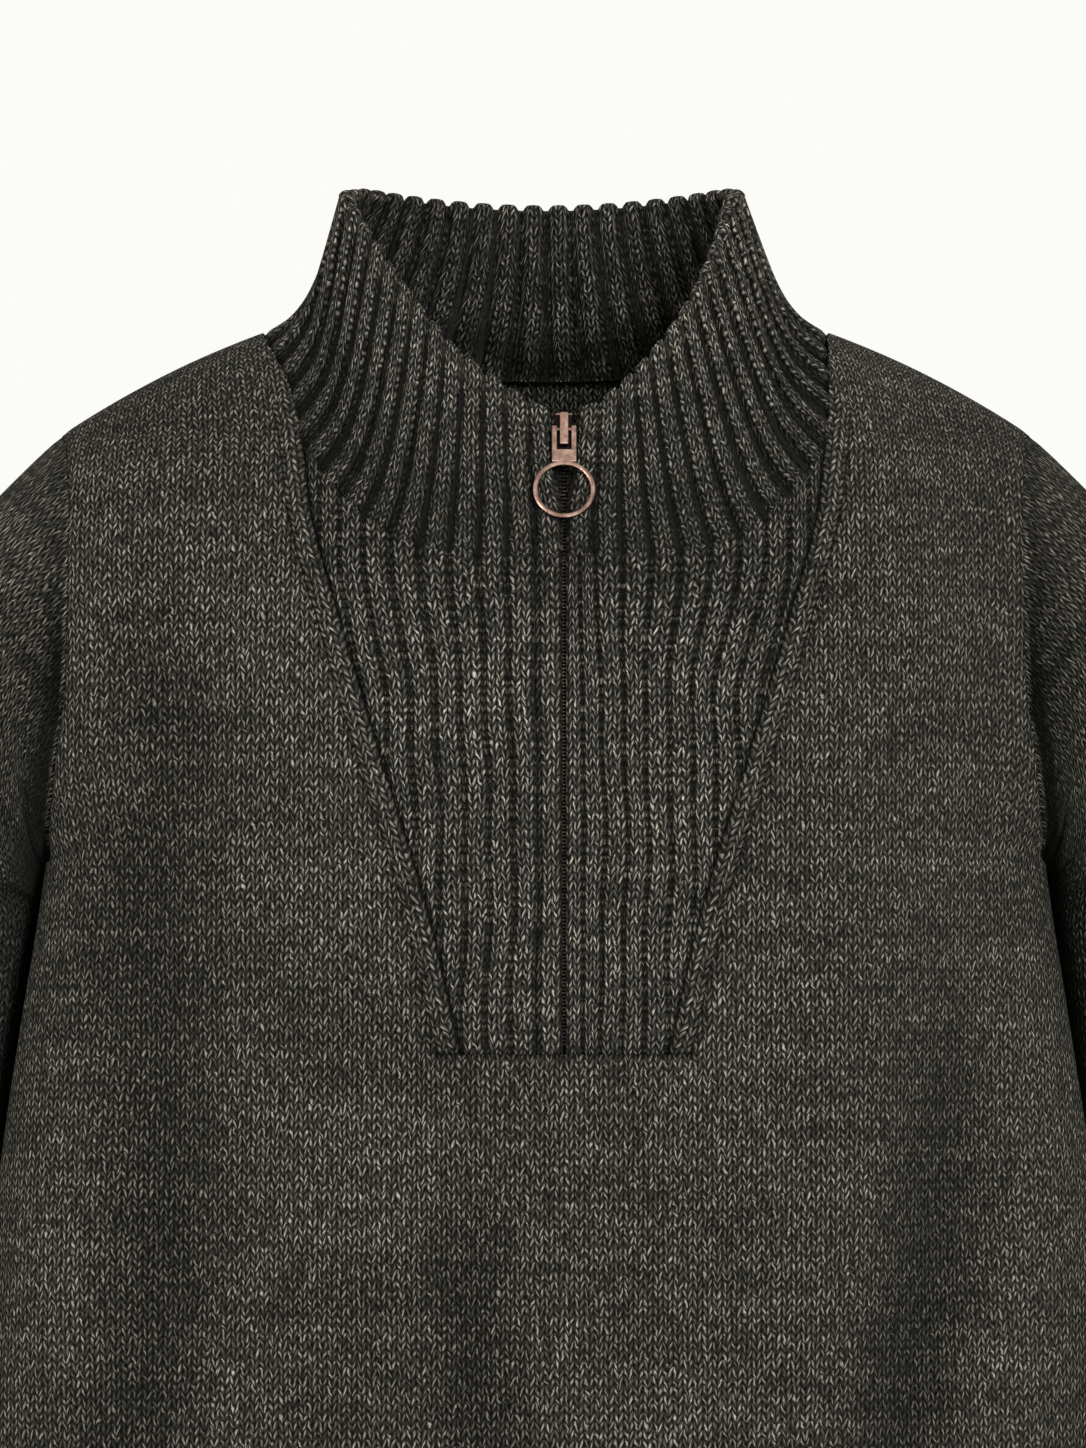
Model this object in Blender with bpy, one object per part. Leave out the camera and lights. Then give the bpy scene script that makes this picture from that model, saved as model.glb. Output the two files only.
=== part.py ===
"""Quarter zip sweater, filled out as it is when worn, with nobody in it.

Metres, +Z up, the front faces -Y. The origin is the middle of the neck base, level with the neck ends
of the shoulder seams. Each knitted panel is a wall on the garment's own surface: the torso is one
rounded form that the front, back, bib and hem share, the sleeves run through a table of sections, and
the collar is lofted from the neck seam to its own top edge.
"""

from collections import namedtuple
from math import asin, atan2, cos, pi, sin

import bmesh
import bpy
from mathutils import Matrix, Vector

# Cloth
PANEL_WALL = 0.003
RIB_WALL = 0.004
COLLAR_WALL = 0.007  # the rib is folded double
SEAM = 0.00034  # between two pieces
STEP = 0.0003  # for slopes taken by differences

# Shoulders and neck
NECK_HALF = 0.127
SHOULDER_SLOPE = 0.36
SHOULDER_DROOP = 1.6
SHOULDER_ROUND = 0.200  # how far below its ridge the shoulder reaches the chest's full depth
BACK_NECK_DROP = 0.018

# Torso section: |x / half|^WIDTH_POWER + |y / depth|^DEPTH_POWER = 1, rounded off under the shoulders
WIDTH_POWER = 2.6
DEPTH_POWER = 2.2
ROUND_POWER = 2.2
Torso = namedtuple("Torso", "z half front back")
TORSO = (
    Torso(0.030, 0.2200, 0.108, 0.094),
    Torso(-0.100, 0.2200, 0.115, 0.104),
    Torso(-0.200, 0.2220, 0.122, 0.110),
    Torso(-0.238, 0.2245, 0.124, 0.111),
    Torso(-0.310, 0.2350, 0.126, 0.112),
    Torso(-0.400, 0.2475, 0.126, 0.114),
    Torso(-0.500, 0.2565, 0.125, 0.118),
    Torso(-0.590, 0.2580, 0.122, 0.118),
    Torso(-0.620, 0.2460, 0.115, 0.111),
    Torso(-0.655, 0.2420, 0.112, 0.108),
)
HEM_SEAM_Z = -0.590
HEM_Z = -0.655

# Armhole: an upright oval ring round the sleeve's root
TIP_X, TIP_Z = 0.218, -0.046
UNDERARM_X, UNDERARM_Z = 0.2245, -0.238
ARMHOLE_HALF_DEPTH = 0.066
ARMHOLE_DIP = 0.0088  # how far its front and back lie inside the line from tip to underarm

# Sleeve sections, from the armhole down: the point next to the body, the point furthest from it,
# half the depth from front to back, and how far behind the shoulder seam the middle lies
Sleeve = namedtuple("Sleeve", "near_x near_z far_x far_z half_depth back")
SLEEVE = (
    Sleeve(UNDERARM_X, UNDERARM_Z, TIP_X, TIP_Z, ARMHOLE_HALF_DEPTH, 0.000),
    Sleeve(0.2256, -0.2402, 0.2440, -0.0715, 0.0665, 0.002),
    Sleeve(0.2260, -0.2430, 0.2720, -0.1010, 0.0675, 0.006),
    Sleeve(0.2264, -0.2475, 0.2980, -0.1420, 0.0685, 0.012),
    Sleeve(0.2270, -0.2545, 0.3170, -0.1920, 0.0680, 0.020),
    Sleeve(0.2280, -0.2660, 0.3270, -0.2440, 0.0670, 0.027),
    Sleeve(0.2356, -0.3200, 0.3360, -0.3200, 0.0640, 0.034),
    Sleeve(0.2475, -0.4000, 0.3440, -0.4020, 0.0600, 0.031),
    Sleeve(0.2605, -0.4900, 0.3510, -0.4940, 0.0550, 0.020),
    Sleeve(0.2712, -0.5450, 0.3530, -0.5500, 0.0500, 0.008),
    Sleeve(0.2790, -0.5650, 0.3470, -0.5700, 0.0420, 0.003),
)
CUFF = (
    Sleeve(0.2792, -0.5655, 0.3468, -0.5705, 0.0418, 0.003),
    Sleeve(0.2860, -0.5850, 0.3440, -0.5890, 0.0350, 0.001),
    Sleeve(0.2890, -0.6300, 0.3450, -0.6340, 0.0330, 0.000),
)

# V insert: half its width at each height, and the neck seam along its top
Insert = namedtuple("Insert", "z half")
INSERT = (
    Insert(0.000, 0.1270),
    Insert(-0.023, 0.1205),
    Insert(-0.051, 0.1160),
    Insert(-0.086, 0.1110),
    Insert(-0.127, 0.0995),
    Insert(-0.195, 0.0790),
    Insert(-0.257, 0.0600),
    Insert(-0.320, 0.0455),
)
BIB_CORNER_Z = -0.051
BIB_BOTTOM_Z = -0.320
NECK_FRONT_Z = -0.101
NECK_FRONT_POWER = 4.6  # how late the front neck seam climbs to the insert's corner

# Collar
COLLAR_TOP_HALF = 0.090
COLLAR_TOP_FRONT_Y = -0.080
COLLAR_TOP_BACK_Y = 0.052
COLLAR_FRONT_Z = -0.0325
COLLAR_SIDE_Z = 0.0670
COLLAR_BACK_Z = 0.0595
COLLAR_RISE_POWER = 2.0
COLLAR_CORNER, COLLAR_CORNER_POWER = 0.0035, 24  # how far the edge drops again right at the sides
FLARE_FRONT, FLARE_BACK = 1.35, 1.6
SIDE_SWEEP, SIDE_SWEEP_POWER = 0.38, 7  # the sides are a straight cone with a short sweep at the foot
FAN = 0.43  # how much closer the ribs' feet stay in front than round the rest
COLLAR_CLEAR = 0.010  # the share of its height that the collar starts above the neck seam

# Zip
SLIT_HALF = 0.0006
SLIT_MOUTH_HALF = 0.0062  # where the collar's front corners roll away from the slider
SLIT_ROLL = 0.12  # the share of the collar's half that rolls so
ZIP_SHIFT = 0.0080  # the zip hangs this far to the side of the middle
TAPE_HALF, TAPE_WALL, TAPE_DEPTH = 0.013, 0.0012, 0.0076
TAPE_TOP_Z, TAPE_BOTTOM_Z = -0.043, -0.329
PIN_Z = -0.0470
PIN_PROUD = 0.0024  # how far the hinge pin lies before the cloth
PIN_RADIUS, PIN_PLAY = 0.0007, 0.0004
SLIDER_HALF, SLIDER_TALL, SLIDER_DEEP = 0.0040, 0.0174, 0.0052
BRIDGE_HALF, BRIDGE_TALL, BRIDGE_WALL = 0.0019, 0.0150, 0.0011
FORK_HALF, FORK_SLOT_HALF, FORK_WALL = 0.0054, 0.0033, 0.0016
FORK_TOP, FORK_SLOT_LOW, FORK_LOW = 0.0016, -0.0100, -0.0158
RING_RADIUS, RING_WIRE = 0.0127, 0.00115
RING_DROP = 0.0290  # from the pin to the ring's middle
RING_CLEAR = 0.0006  # the hanging ring's distance from the cloth

# Facets
RING_SIDES = 24
WING_COLUMNS, BIB_COLUMNS, INSERT_COLUMNS, BACK_NECK_COLUMNS = 8, 7, 4, 6
ARMHOLE_ROWS, NECK_ROWS, NECK_ROW_POWER = 10, 4, 1.9
BIB_ROWS, COLLAR_ROWS = 10, 5


def smooth(low, high, value):
    """0 below low, 1 above high, and an S between them."""
    share = min(max((value - low) / (high - low), 0.0), 1.0)
    return share * share * (3 - 2 * share)


def mix(a, b, share):
    return a + (b - a) * share


def read(table, place, column, key=None):
    """A column of a table as a smooth curve, by its key column or by its row number from 0."""
    keys = [getattr(row, key) if key else float(i) for i, row in enumerate(table)]
    values = [getattr(row, column) for row in table]
    if keys[0] > keys[-1]:
        keys.reverse()
        values.reverse()
    place = min(max(place, keys[0]), keys[-1])
    i = max(k for k in range(len(keys) - 1) if keys[k] <= place or k == 0)
    slopes = []
    for k in (i, i + 1):
        a, b = max(k - 1, 0), min(k + 1, len(keys) - 1)
        slopes.append((values[b] - values[a]) / (keys[b] - keys[a]))
    run = keys[i + 1] - keys[i]
    t = (place - keys[i]) / run
    return (
        values[i] * (2 * t**3 - 3 * t**2 + 1)
        + slopes[0] * run * (t**3 - 2 * t**2 + t)
        + values[i + 1] * (3 * t**2 - 2 * t**3)
        + slopes[1] * run * (t**3 - t**2)
    )


# The torso's surface


def shoulder_z(x):
    """Height of the shoulder seam, and of its run-on over the neck hole."""
    out = abs(x) - NECK_HALF
    if out > 0:
        return -SHOULDER_SLOPE * out - SHOULDER_DROOP * out * out
    return 0.5 * SHOULDER_SLOPE * NECK_HALF * (1 - (x / NECK_HALF) ** 2)


def shoulder_share(x, z):
    """How far the section has filled out under the shoulder, 0 on the ridge."""
    above = 1 - (shoulder_z(x) - z) / SHOULDER_ROUND
    return 1 - max(above, 0.0) ** ROUND_POWER


def depth(z, face):
    return read(TORSO, z, "front" if face < 0 else "back", "z")


def armhole(angle):
    """x, depth and z on the armhole's ring, from the tip (0) by the front or back to the underarm (pi)."""
    share = (1 - cos(angle)) / 2
    x = mix(TIP_X, UNDERARM_X, share) - ARMHOLE_DIP * sin(angle)
    return x, ARMHOLE_HALF_DEPTH * sin(angle), mix(TIP_Z, UNDERARM_Z, share)


def torso_half(z, face):
    """Half the section's width; beside an armhole, the width that leads through the armhole's edge."""
    if z <= UNDERARM_Z:
        return read(TORSO, z, "half", "z")
    height = (TIP_Z - z) / (TIP_Z - UNDERARM_Z)
    height = min(max(height, 0.003), 1.0)
    x, y, level = armhole(pi - 2 * asin((1 - height) ** 0.5))
    filled = (y / depth(level, face)) ** DEPTH_POWER / shoulder_share(x, level)
    return x / (1 - min(filled, 0.7)) ** (1 / WIDTH_POWER)


def fullness(x, z, face):
    return shoulder_share(x, z) * (1 - (abs(x) / torso_half(z, face)) ** WIDTH_POWER)


def torso_point(x, z, face):
    """The point of the torso at x, z on its front (face -1) or back (face 1), and the way out of it."""
    y = depth(z, face) * max(fullness(x, z, face), 0.0) ** (1 / DEPTH_POWER)
    y = max(y, SEAM / 2)

    def outside(a, b, c):
        return (b / depth(c, face)) ** DEPTH_POWER - fullness(a, c, face)

    way = Vector(
        (
            outside(x + STEP, y, z) - outside(x - STEP, y, z),
            face * (outside(x, y + STEP, z) - outside(x, max(y - STEP, 0), z)),
            outside(x, y, z + STEP) - outside(x, y, z - STEP),
        )
    )
    return Vector((x, face * y, z)), way.normalized()


def sideways(point):
    """The front hangs a little to one side: the middle of its face moves over, its edges stay."""
    weight = smooth(0.020, 0.075, -point.y) * (1 - smooth(0.130, 0.205, abs(point.x)))
    return point + Vector((ZIP_SHIFT * weight, 0, 0))


# Solids


def add_object(name, mesh, material):
    mesh.materials.append(material)
    obj = bpy.data.objects.new(name, mesh)
    COLLECTION.objects.link(obj)
    return obj


def wall(name, rows, thickness, material, ring=False, skip=None):
    """A wall of even thickness behind a grid of (point, way out). Neighbours share the way out along a
    seam, so that the seam keeps its width right through the wall. skip(row, column) leaves a face out."""
    bm = bmesh.new()
    outer = [[bm.verts.new(sideways(p)) for p, _ in row] for row in rows]
    inner = [[bm.verts.new(sideways(p - way * thickness)) for p, way in row] for row in rows]
    columns = len(rows[0])
    for i in range(len(rows) - 1):
        for j in range(columns if ring else columns - 1):
            if skip and skip(i, j):
                continue
            k = (j + 1) % columns
            bm.faces.new((outer[i][j], outer[i][k], outer[i + 1][k], outer[i + 1][j]))
            bm.faces.new((inner[i][j], inner[i + 1][j], inner[i + 1][k], inner[i][k]))
    bm.verts.index_update()
    half = sum(len(row) for row in outer)
    verts = list(bm.verts)
    for edge in [e for e in bm.edges if e.is_boundary and e.verts[0].index < half]:
        a, b = (v.index for v in edge.verts)
        bm.faces.new((verts[a], verts[b], verts[b + half], verts[a + half]))
    bmesh.ops.delete(bm, geom=[v for v in bm.verts if not v.link_faces], context="VERTS")
    bmesh.ops.recalc_face_normals(bm, faces=bm.faces)
    mesh = bpy.data.meshes.new(name)
    bm.to_mesh(mesh)
    bm.free()
    mesh.shade_smooth()
    mesh.set_sharp_from_angle(angle=pi / 4)
    return add_object(name, mesh, material)


# Panels


def insert_half(z):
    return read(INSERT, z, "half", "z")


def neck_levels():
    """Heights of the body rows' inner ends beside the neck, from the shoulder seam to the insert's corner."""
    return [BIB_CORNER_Z * (i / NECK_ROWS) ** NECK_ROW_POWER for i in range(NECK_ROWS + 1)]


def panel_rows(levels):
    """The rows of a body panel: x and z at its outer edge, z at its inner end."""
    rows = []
    below = ARMHOLE_ROWS - NECK_ROWS
    inner = neck_levels() + [mix(BIB_CORNER_Z, UNDERARM_Z, (i + 1) / below) for i in range(below)]
    for i in range(ARMHOLE_ROWS):
        x, _, z = armhole(pi * i / ARMHOLE_ROWS)
        rows.append((x - SEAM / 2, z, inner[i]))
    return rows + [(read(TORSO, z, "half", "z"), z, z) for z in levels]


def row_point(row, share, face, inner_x):
    """A point of a panel's row, share 0 at the armhole or side seam and 1 at inner_x. Rows beside the
    armhole keep some of the shoulder seam's slope, and the top row lies on that seam."""
    edge_x, edge_z, inner_z = row
    if edge_z > shoulder_z(edge_x) - SEAM:
        x = mix(edge_x, inner_x, share)
        return torso_point(x, shoulder_z(x), face)
    x, z = edge_x, edge_z
    rise = shoulder_z(inner_x) - shoulder_z(edge_x)
    for _ in range(6):
        half = torso_half(z, face)
        start = asin(min(edge_x / half, 1.0))
        end = asin(inner_x / half)
        x = half * sin(mix(start, end, share))
        z = mix(edge_z, inner_z, (shoulder_z(x) - shoulder_z(edge_x)) / rise)
    return torso_point(x, z, face)


def mirrored(row):
    """A row from the middle to the right edge, with its left half added."""
    flip = Matrix.Diagonal((-1, 1, 1))
    return [(flip @ p, flip @ way) for p, way in reversed(row)] + row


def front_body(material):
    upper = [mix(UNDERARM_Z, BIB_BOTTOM_Z - SEAM / 2, i / 3) for i in range(4)]
    lower = [mix(BIB_BOTTOM_Z, HEM_SEAM_Z, i / 6) for i in range(1, 7)]
    rows = []
    for row in panel_rows(upper + lower):
        inner_x = insert_half(row[2]) + SEAM / 2
        wing = [row_point(row, 1 - j / WING_COLUMNS, -1, inner_x) for j in range(WING_COLUMNS + 1)]
        middle = []
        for j in range(1, INSERT_COLUMNS):
            middle.append(torso_point(inner_x * (2 * j / INSERT_COLUMNS - 1), row[2], -1))
        rows.append(mirrored(wing)[: WING_COLUMNS + 1] + middle + wing)
    opened = ARMHOLE_ROWS + len(upper) - 1

    def in_slot(i, j):
        return i < opened and WING_COLUMNS <= j < WING_COLUMNS + INSERT_COLUMNS

    return wall("front_body", rows, PANEL_WALL, material, skip=in_slot)


def back_neck_z(x):
    return -BACK_NECK_DROP * (1 - (x / NECK_HALF) ** 2)


def back_body(material):
    """The back's rows start on the shoulder seam and the back neck, and flatten out below them."""
    levels = [mix(UNDERARM_Z, HEM_SEAM_Z, i / 8) for i in range(9)]
    rows = []
    for row in panel_rows(levels):
        wing = [row_point(row, 1 - j / WING_COLUMNS, 1, NECK_HALF) for j in range(WING_COLUMNS + 1)]
        middle = []
        follow = 1 - smooth(0.0, -UNDERARM_Z, -row[2])
        for j in range(BACK_NECK_COLUMNS, 0, -1):
            x = NECK_HALF * cos(pi / 2 * j / BACK_NECK_COLUMNS)
            middle.append(torso_point(x, row[2] + back_neck_z(x) * follow, 1))
        half = middle + wing
        rows.append(mirrored(half)[: len(half) - 1] + half)
    return wall("back_body", rows, PANEL_WALL, material)


def hem(name, face, material):
    rows = []
    for z in (HEM_SEAM_Z - SEAM, -0.603, -0.620, HEM_Z):
        half = read(TORSO, z, "half", "z")
        count = WING_COLUMNS + 1
        side = [torso_point(half * sin(pi / 2 * j / count), z, face) for j in range(count + 1)]
        rows.append(mirrored(side)[:count] + side)
    return wall(name, rows, RIB_WALL, material)


def neck_front_z(share):
    """Height of the neck seam along the insert's top, share 0 at the zip and 1 at its corner."""
    return mix(NECK_FRONT_Z, BIB_CORNER_Z, share**NECK_FRONT_POWER)


def bib(name, side, material):
    rows = []
    for i in range(BIB_ROWS + 1):
        row = []
        for j in range(BIB_COLUMNS + 1):
            share = j / BIB_COLUMNS
            z = mix(neck_front_z(share) - SEAM, BIB_BOTTOM_Z + SEAM / 2, i / BIB_ROWS)
            x = mix(SLIT_HALF, insert_half(z) - SEAM / 2, share)
            row.append(torso_point(x * side, z, -1))
        rows.append(row)
    return wall(name, rows, RIB_WALL, material)


# Sleeves


def sleeve_point(table, place, angle, side):
    """A point of a sleeve: place runs down the table's rows, angle from the top by the front."""
    near = Vector((read(table, place, "near_x"), 0, read(table, place, "near_z")))
    far = Vector((read(table, place, "far_x"), 0, read(table, place, "far_z")))
    middle, reach = (near + far) / 2, (far - near) / 2
    point = middle + reach * cos(angle)
    point.y = read(table, place, "back") - read(table, place, "half_depth") * sin(angle)
    if table is SLEEVE and place < 1:
        point.x += (1 - place) * (SEAM / 2 - ARMHOLE_DIP * abs(sin(angle)))
    point.x *= side
    return point


def sleeve_ring(table, place, side, last):
    ring = []
    for j in range(RING_SIDES):
        angle = 2 * pi * j / RING_SIDES
        point = sleeve_point(table, place, angle, side)
        if place == 0 and table is SLEEVE:
            way = Vector((0, -sin(angle) / ARMHOLE_HALF_DEPTH, cos(angle) / (TIP_Z - UNDERARM_Z) * 2))
        else:
            ahead = min(place + 0.05, last)
            down = sleeve_point(table, ahead, angle, side)
            down -= sleeve_point(table, ahead - 0.1, angle, side)
            around = sleeve_point(table, place, angle + 0.01, side)
            around -= sleeve_point(table, place, angle - 0.01, side)
            way = around.cross(down) * side
        ring.append((point, way.normalized()))
    return ring


def sleeve(name, table, side, thickness, steps, material):
    last = len(table) - 1
    rows = [sleeve_ring(table, last * i / steps, side, last) for i in range(steps + 1)]
    return wall(name, rows, thickness, material, ring=True)


# Collar


def lengths_along(points):
    lengths = [0.0]
    for a, b in zip(points, points[1:]):
        lengths.append(lengths[-1] + (b - a).length)
    return lengths


def neck_seam():
    """The right half of the neck seam, at the corners of the panels that it joins: along the insert's
    top, up beside the front, and round the back."""
    line = []
    for j in range(BIB_COLUMNS + 1):
        z = neck_front_z(j / BIB_COLUMNS)
        line.append(torso_point(mix(SLIT_HALF, insert_half(z), j / BIB_COLUMNS), z, -1)[0])
    for z in reversed(neck_levels()[:-1]):
        line.append(torso_point(insert_half(z), z, -1)[0])
    for j in range(1, BACK_NECK_COLUMNS + 1):
        x = NECK_HALF * cos(pi / 2 * j / BACK_NECK_COLUMNS)
        line.append(torso_point(x, back_neck_z(x), 1)[0])
    return line


def collar_top(angle):
    """The collar's top edge on the right, angle 0 at the front and pi at the back."""
    middle = (COLLAR_TOP_FRONT_Y + COLLAR_TOP_BACK_Y) / 2
    reach = (COLLAR_TOP_BACK_Y - COLLAR_TOP_FRONT_Y) / 2
    low = COLLAR_FRONT_Z if angle < pi / 2 else COLLAR_BACK_Z
    aside = max(sin(angle), 0.0)
    z = mix(low, COLLAR_SIDE_Z, aside**COLLAR_RISE_POWER) - COLLAR_CORNER * aside**COLLAR_CORNER_POWER
    return Vector((COLLAR_TOP_HALF * sin(angle), middle - reach * cos(angle), z))


def collar_columns():
    """Each column of the collar's right half: its foot on the neck seam, its head on the top edge, and
    its share of the way from the front to the back. The ribs fan out more at the sides than in front."""
    feet = neck_seam()
    reached = lengths_along(feet)
    steps = 200
    edge = [collar_top(pi * i / steps) for i in range(steps + 1)]
    edge_reached = lengths_along(edge)
    columns = []
    for foot, length in zip(feet, reached):
        share = length / reached[-1]
        place = mix(SLIT_HALF, edge_reached[-1], share * (1 + FAN * (1 - share) ** 2))
        i = max(k for k in range(steps) if edge_reached[k] <= place)
        run = (place - edge_reached[i]) / (edge_reached[i + 1] - edge_reached[i])
        columns.append((foot, edge[i].lerp(edge[i + 1], min(run, 1.0)), share))
    return columns


def collar_point(column, rise):
    """A point of the collar's outer face, rise 0 at the neck seam and 1 at the top edge."""
    foot, head, share = column
    fall = 1 - rise
    side = mix(fall, fall**SIDE_SWEEP_POWER, SIDE_SWEEP)
    lean = mix(fall**FLARE_FRONT, side, smooth(0.0, 0.45, share))
    lean = mix(lean, fall**FLARE_BACK, smooth(0.6, 1.0, share))
    point = head.lerp(foot, lean)
    point.z = mix(foot.z, head.z, rise)
    opening = 0.75 * smooth(0.28, 0.62, rise) + 0.25 * smooth(0.75, 1.0, rise)
    point.x += (SLIT_MOUTH_HALF - SLIT_HALF) * opening * max(1 - share / SLIT_ROLL, 0) ** 2
    return point


def collar(material):
    columns = collar_columns()
    last = len(columns) - 1
    rows = []
    for i in range(COLLAR_ROWS + 1):
        rise = mix(1.0, COLLAR_CLEAR, i / COLLAR_ROWS)
        row = []
        for j, column in enumerate(columns):
            around = collar_point(columns[min(j + 1, last)], rise)
            around -= collar_point(columns[max(j - 1, 0)], rise)
            middle = min(rise, 1 - COLLAR_CLEAR)
            up = collar_point(column, middle + COLLAR_CLEAR) - collar_point(column, middle - COLLAR_CLEAR)
            way = around.cross(up)
            if i == COLLAR_ROWS and j <= BIB_COLUMNS:
                way = torso_point(column[0].x, column[0].z, -1)[1]
            if j == last:
                way.x = 0.0
            row.append((collar_point(column, rise), way.normalized()))
        row.reverse()
        row[0][0].x = 0.0
        rows.append(mirrored(row)[:last] + row)
    return wall("collar", rows, COLLAR_WALL, material)


# Zip


def zip_line(z):
    """The cloth's surface along the zip, and the way out of it, on the insert or on the collar."""
    if z <= NECK_FRONT_Z:
        return torso_point(0.0, z, -1)
    column = collar_columns()[0]
    rise = (z - NECK_FRONT_Z) / (COLLAR_FRONT_Z - NECK_FRONT_Z)
    point = collar_point(column, rise)
    slope = collar_point(column, rise + COLLAR_CLEAR) - collar_point(column, rise - COLLAR_CLEAR)
    point.x = 0.0
    return point, Vector((0, -slope.z, slope.y)).normalized()


def zip_tape(material):
    rows = []
    for i in range(11):
        point, way = zip_line(mix(TAPE_TOP_Z, TAPE_BOTTOM_Z, i / 10))
        front = point - way * TAPE_DEPTH
        rows.append([(front + Vector((x, 0, 0)), way) for x in (-TAPE_HALF, 0.0, TAPE_HALF)])
    return wall("zip_tape", rows, TAPE_WALL, material)


def block(low, high, name, bevel=0.0):
    """A box between two corners, with rounded edges, as an object outside the model."""
    bm = bmesh.new()
    bmesh.ops.create_cube(bm, size=1)
    middle, size = (Vector(low) + Vector(high)) / 2, Vector(high) - Vector(low)
    bmesh.ops.transform(bm, matrix=Matrix.Translation(middle) @ Matrix.Diagonal((*size, 1)), verts=bm.verts)
    if bevel:
        bmesh.ops.bevel(bm, geom=bm.edges, offset=bevel, segments=2, affect="EDGES", profile=0.5)
    mesh = bpy.data.meshes.new(name)
    bm.to_mesh(mesh)
    bm.free()
    return helper(name, mesh)


def helper(name, mesh):
    obj = bpy.data.objects.new(name, mesh)
    HELPERS.objects.link(obj)
    obj.hide_render = True
    obj.display_type = "WIRE"
    return obj


def rod(start, end, radius, sides, name):
    """A round bar between two points."""
    start, end = Vector(start), Vector(end)
    bm = bmesh.new()
    bmesh.ops.create_cone(
        bm, cap_ends=True, segments=sides, radius1=radius, radius2=radius, depth=(end - start).length
    )
    turn = (end - start).to_track_quat("Z", "Y").to_matrix().to_4x4()
    bmesh.ops.transform(bm, matrix=Matrix.Translation((start + end) / 2) @ turn, verts=bm.verts)
    mesh = bpy.data.meshes.new(name)
    bm.to_mesh(mesh)
    bm.free()
    return helper(name, mesh)


def torus(radius, wire, middle, name):
    bpy.ops.mesh.primitive_torus_add(
        major_radius=radius, minor_radius=wire, major_segments=40, minor_segments=10, rotation=(pi / 2, 0, 0)
    )
    ring = bpy.context.object
    mesh = ring.data
    mesh.transform(Matrix.Translation(middle) @ ring.matrix_world)
    bpy.data.objects.remove(ring)
    return helper(name, mesh)


def combined(name, first, others, material, place):
    """first with each (operation, object) of others applied, moved to its place on the sweater."""
    for operation, other in others:
        step = first.modifiers.new(other.name, "BOOLEAN")
        step.operation = operation
        step.object = other
    graph = bpy.context.evaluated_depsgraph_get()
    mesh = bpy.data.meshes.new_from_object(first.evaluated_get(graph))
    mesh.name = name
    mesh.materials.clear()
    mesh.transform(place)
    mesh.shade_smooth()
    mesh.set_sharp_from_angle(angle=pi / 5)
    first.modifiers.clear()
    return add_object(name, mesh, material)


def pin_point():
    point, way = zip_line(PIN_Z)
    return sideways(point) + way * PIN_PROUD


def zip_place(up):
    """The hinge pin's frame: x along the pin, z the given way up along the cloth, y into the cloth."""
    return Matrix.Translation(pin_point()) @ Matrix.Rotation(-atan2(up.y, up.z), 4, "X")


def zip_slider(material):
    """A body between the collar's edges, and a bridge before it that holds the pull's pin."""
    _, way = zip_line(PIN_Z)
    up = Vector((0, way.z, -way.y))
    face = PIN_PROUD
    low = (-SLIDER_HALF, face, -SLIDER_TALL / 2)
    body = block(low, (SLIDER_HALF, face + SLIDER_DEEP, SLIDER_TALL / 2), "body", 0.0008)
    hollow, top = PIN_RADIUS + PIN_PLAY, BRIDGE_TALL / 2
    low = (-BRIDGE_HALF, -hollow - BRIDGE_WALL, -top)
    bridge = block(low, (BRIDGE_HALF, face + BRIDGE_WALL, top), "bridge", 0.0005)
    low = (-2 * BRIDGE_HALF, -hollow, -top + 2 * BRIDGE_WALL)
    hole = block(low, (2 * BRIDGE_HALF, face, top - 2 * BRIDGE_WALL), "bridge_hole")
    parts = [("DIFFERENCE", hole)]
    arch = combined("bridge_arch", bridge, parts, material, Matrix.Identity(4))
    COLLECTION.objects.unlink(arch)
    HELPERS.objects.link(arch)
    arch.hide_render = True
    return combined("zip_slider", body, [("UNION", arch)], material, zip_place(up))


def zip_pull(material):
    """A fork whose pin runs through the bridge, with a ring below it that lies on the cloth."""
    half = FORK_WALL / 2
    plate = block((-FORK_HALF, -half, FORK_LOW), (FORK_HALF, half, FORK_TOP), "plate", 0.0003)
    high = (FORK_SLOT_HALF, FORK_WALL, 2 * FORK_TOP)
    slot = block((-FORK_SLOT_HALF, -FORK_WALL, FORK_SLOT_LOW), high, "slot")
    pin = rod((-FORK_HALF + half, 0, 0), (FORK_HALF - half, 0, 0), PIN_RADIUS, 10, "pin")
    ring = torus(RING_RADIUS, RING_WIRE, Vector((0, 0, -RING_DROP)), "ring")
    lowest, way = zip_line(PIN_Z - 0.95 * (RING_DROP + RING_RADIUS))
    rest = sideways(lowest) + way * (RING_WIRE + RING_CLEAR)
    parts = [("DIFFERENCE", slot), ("UNION", pin), ("UNION", ring)]
    return combined("zip_pull", plate, parts, material, zip_place(pin_point() - rest))


def new_material(name, colour, roughness, metallic=0.0):
    material = bpy.data.materials.new(name)
    material.use_nodes = True
    shader = material.node_tree.nodes["Principled BSDF"]
    shader.inputs["Base Color"].default_value = (*colour, 1)
    shader.inputs["Roughness"].default_value = roughness
    shader.inputs["Metallic"].default_value = metallic
    return material


for left_over in list(bpy.data.objects):
    bpy.data.objects.remove(left_over)
COLLECTION = bpy.data.collections.new("quarter_zip_sweater")
HELPERS = bpy.data.collections.new("helpers")
bpy.context.scene.collection.children.link(COLLECTION)
bpy.context.scene.collection.children.link(HELPERS)

knit = new_material("knit", (0.045, 0.045, 0.038), 0.95)
rib = new_material("rib", (0.038, 0.038, 0.032), 0.95)
tape = new_material("zip_tape", (0.012, 0.012, 0.011), 0.85)
copper = new_material("antique_copper", (0.42, 0.25, 0.19), 0.35, 1.0)

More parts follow.
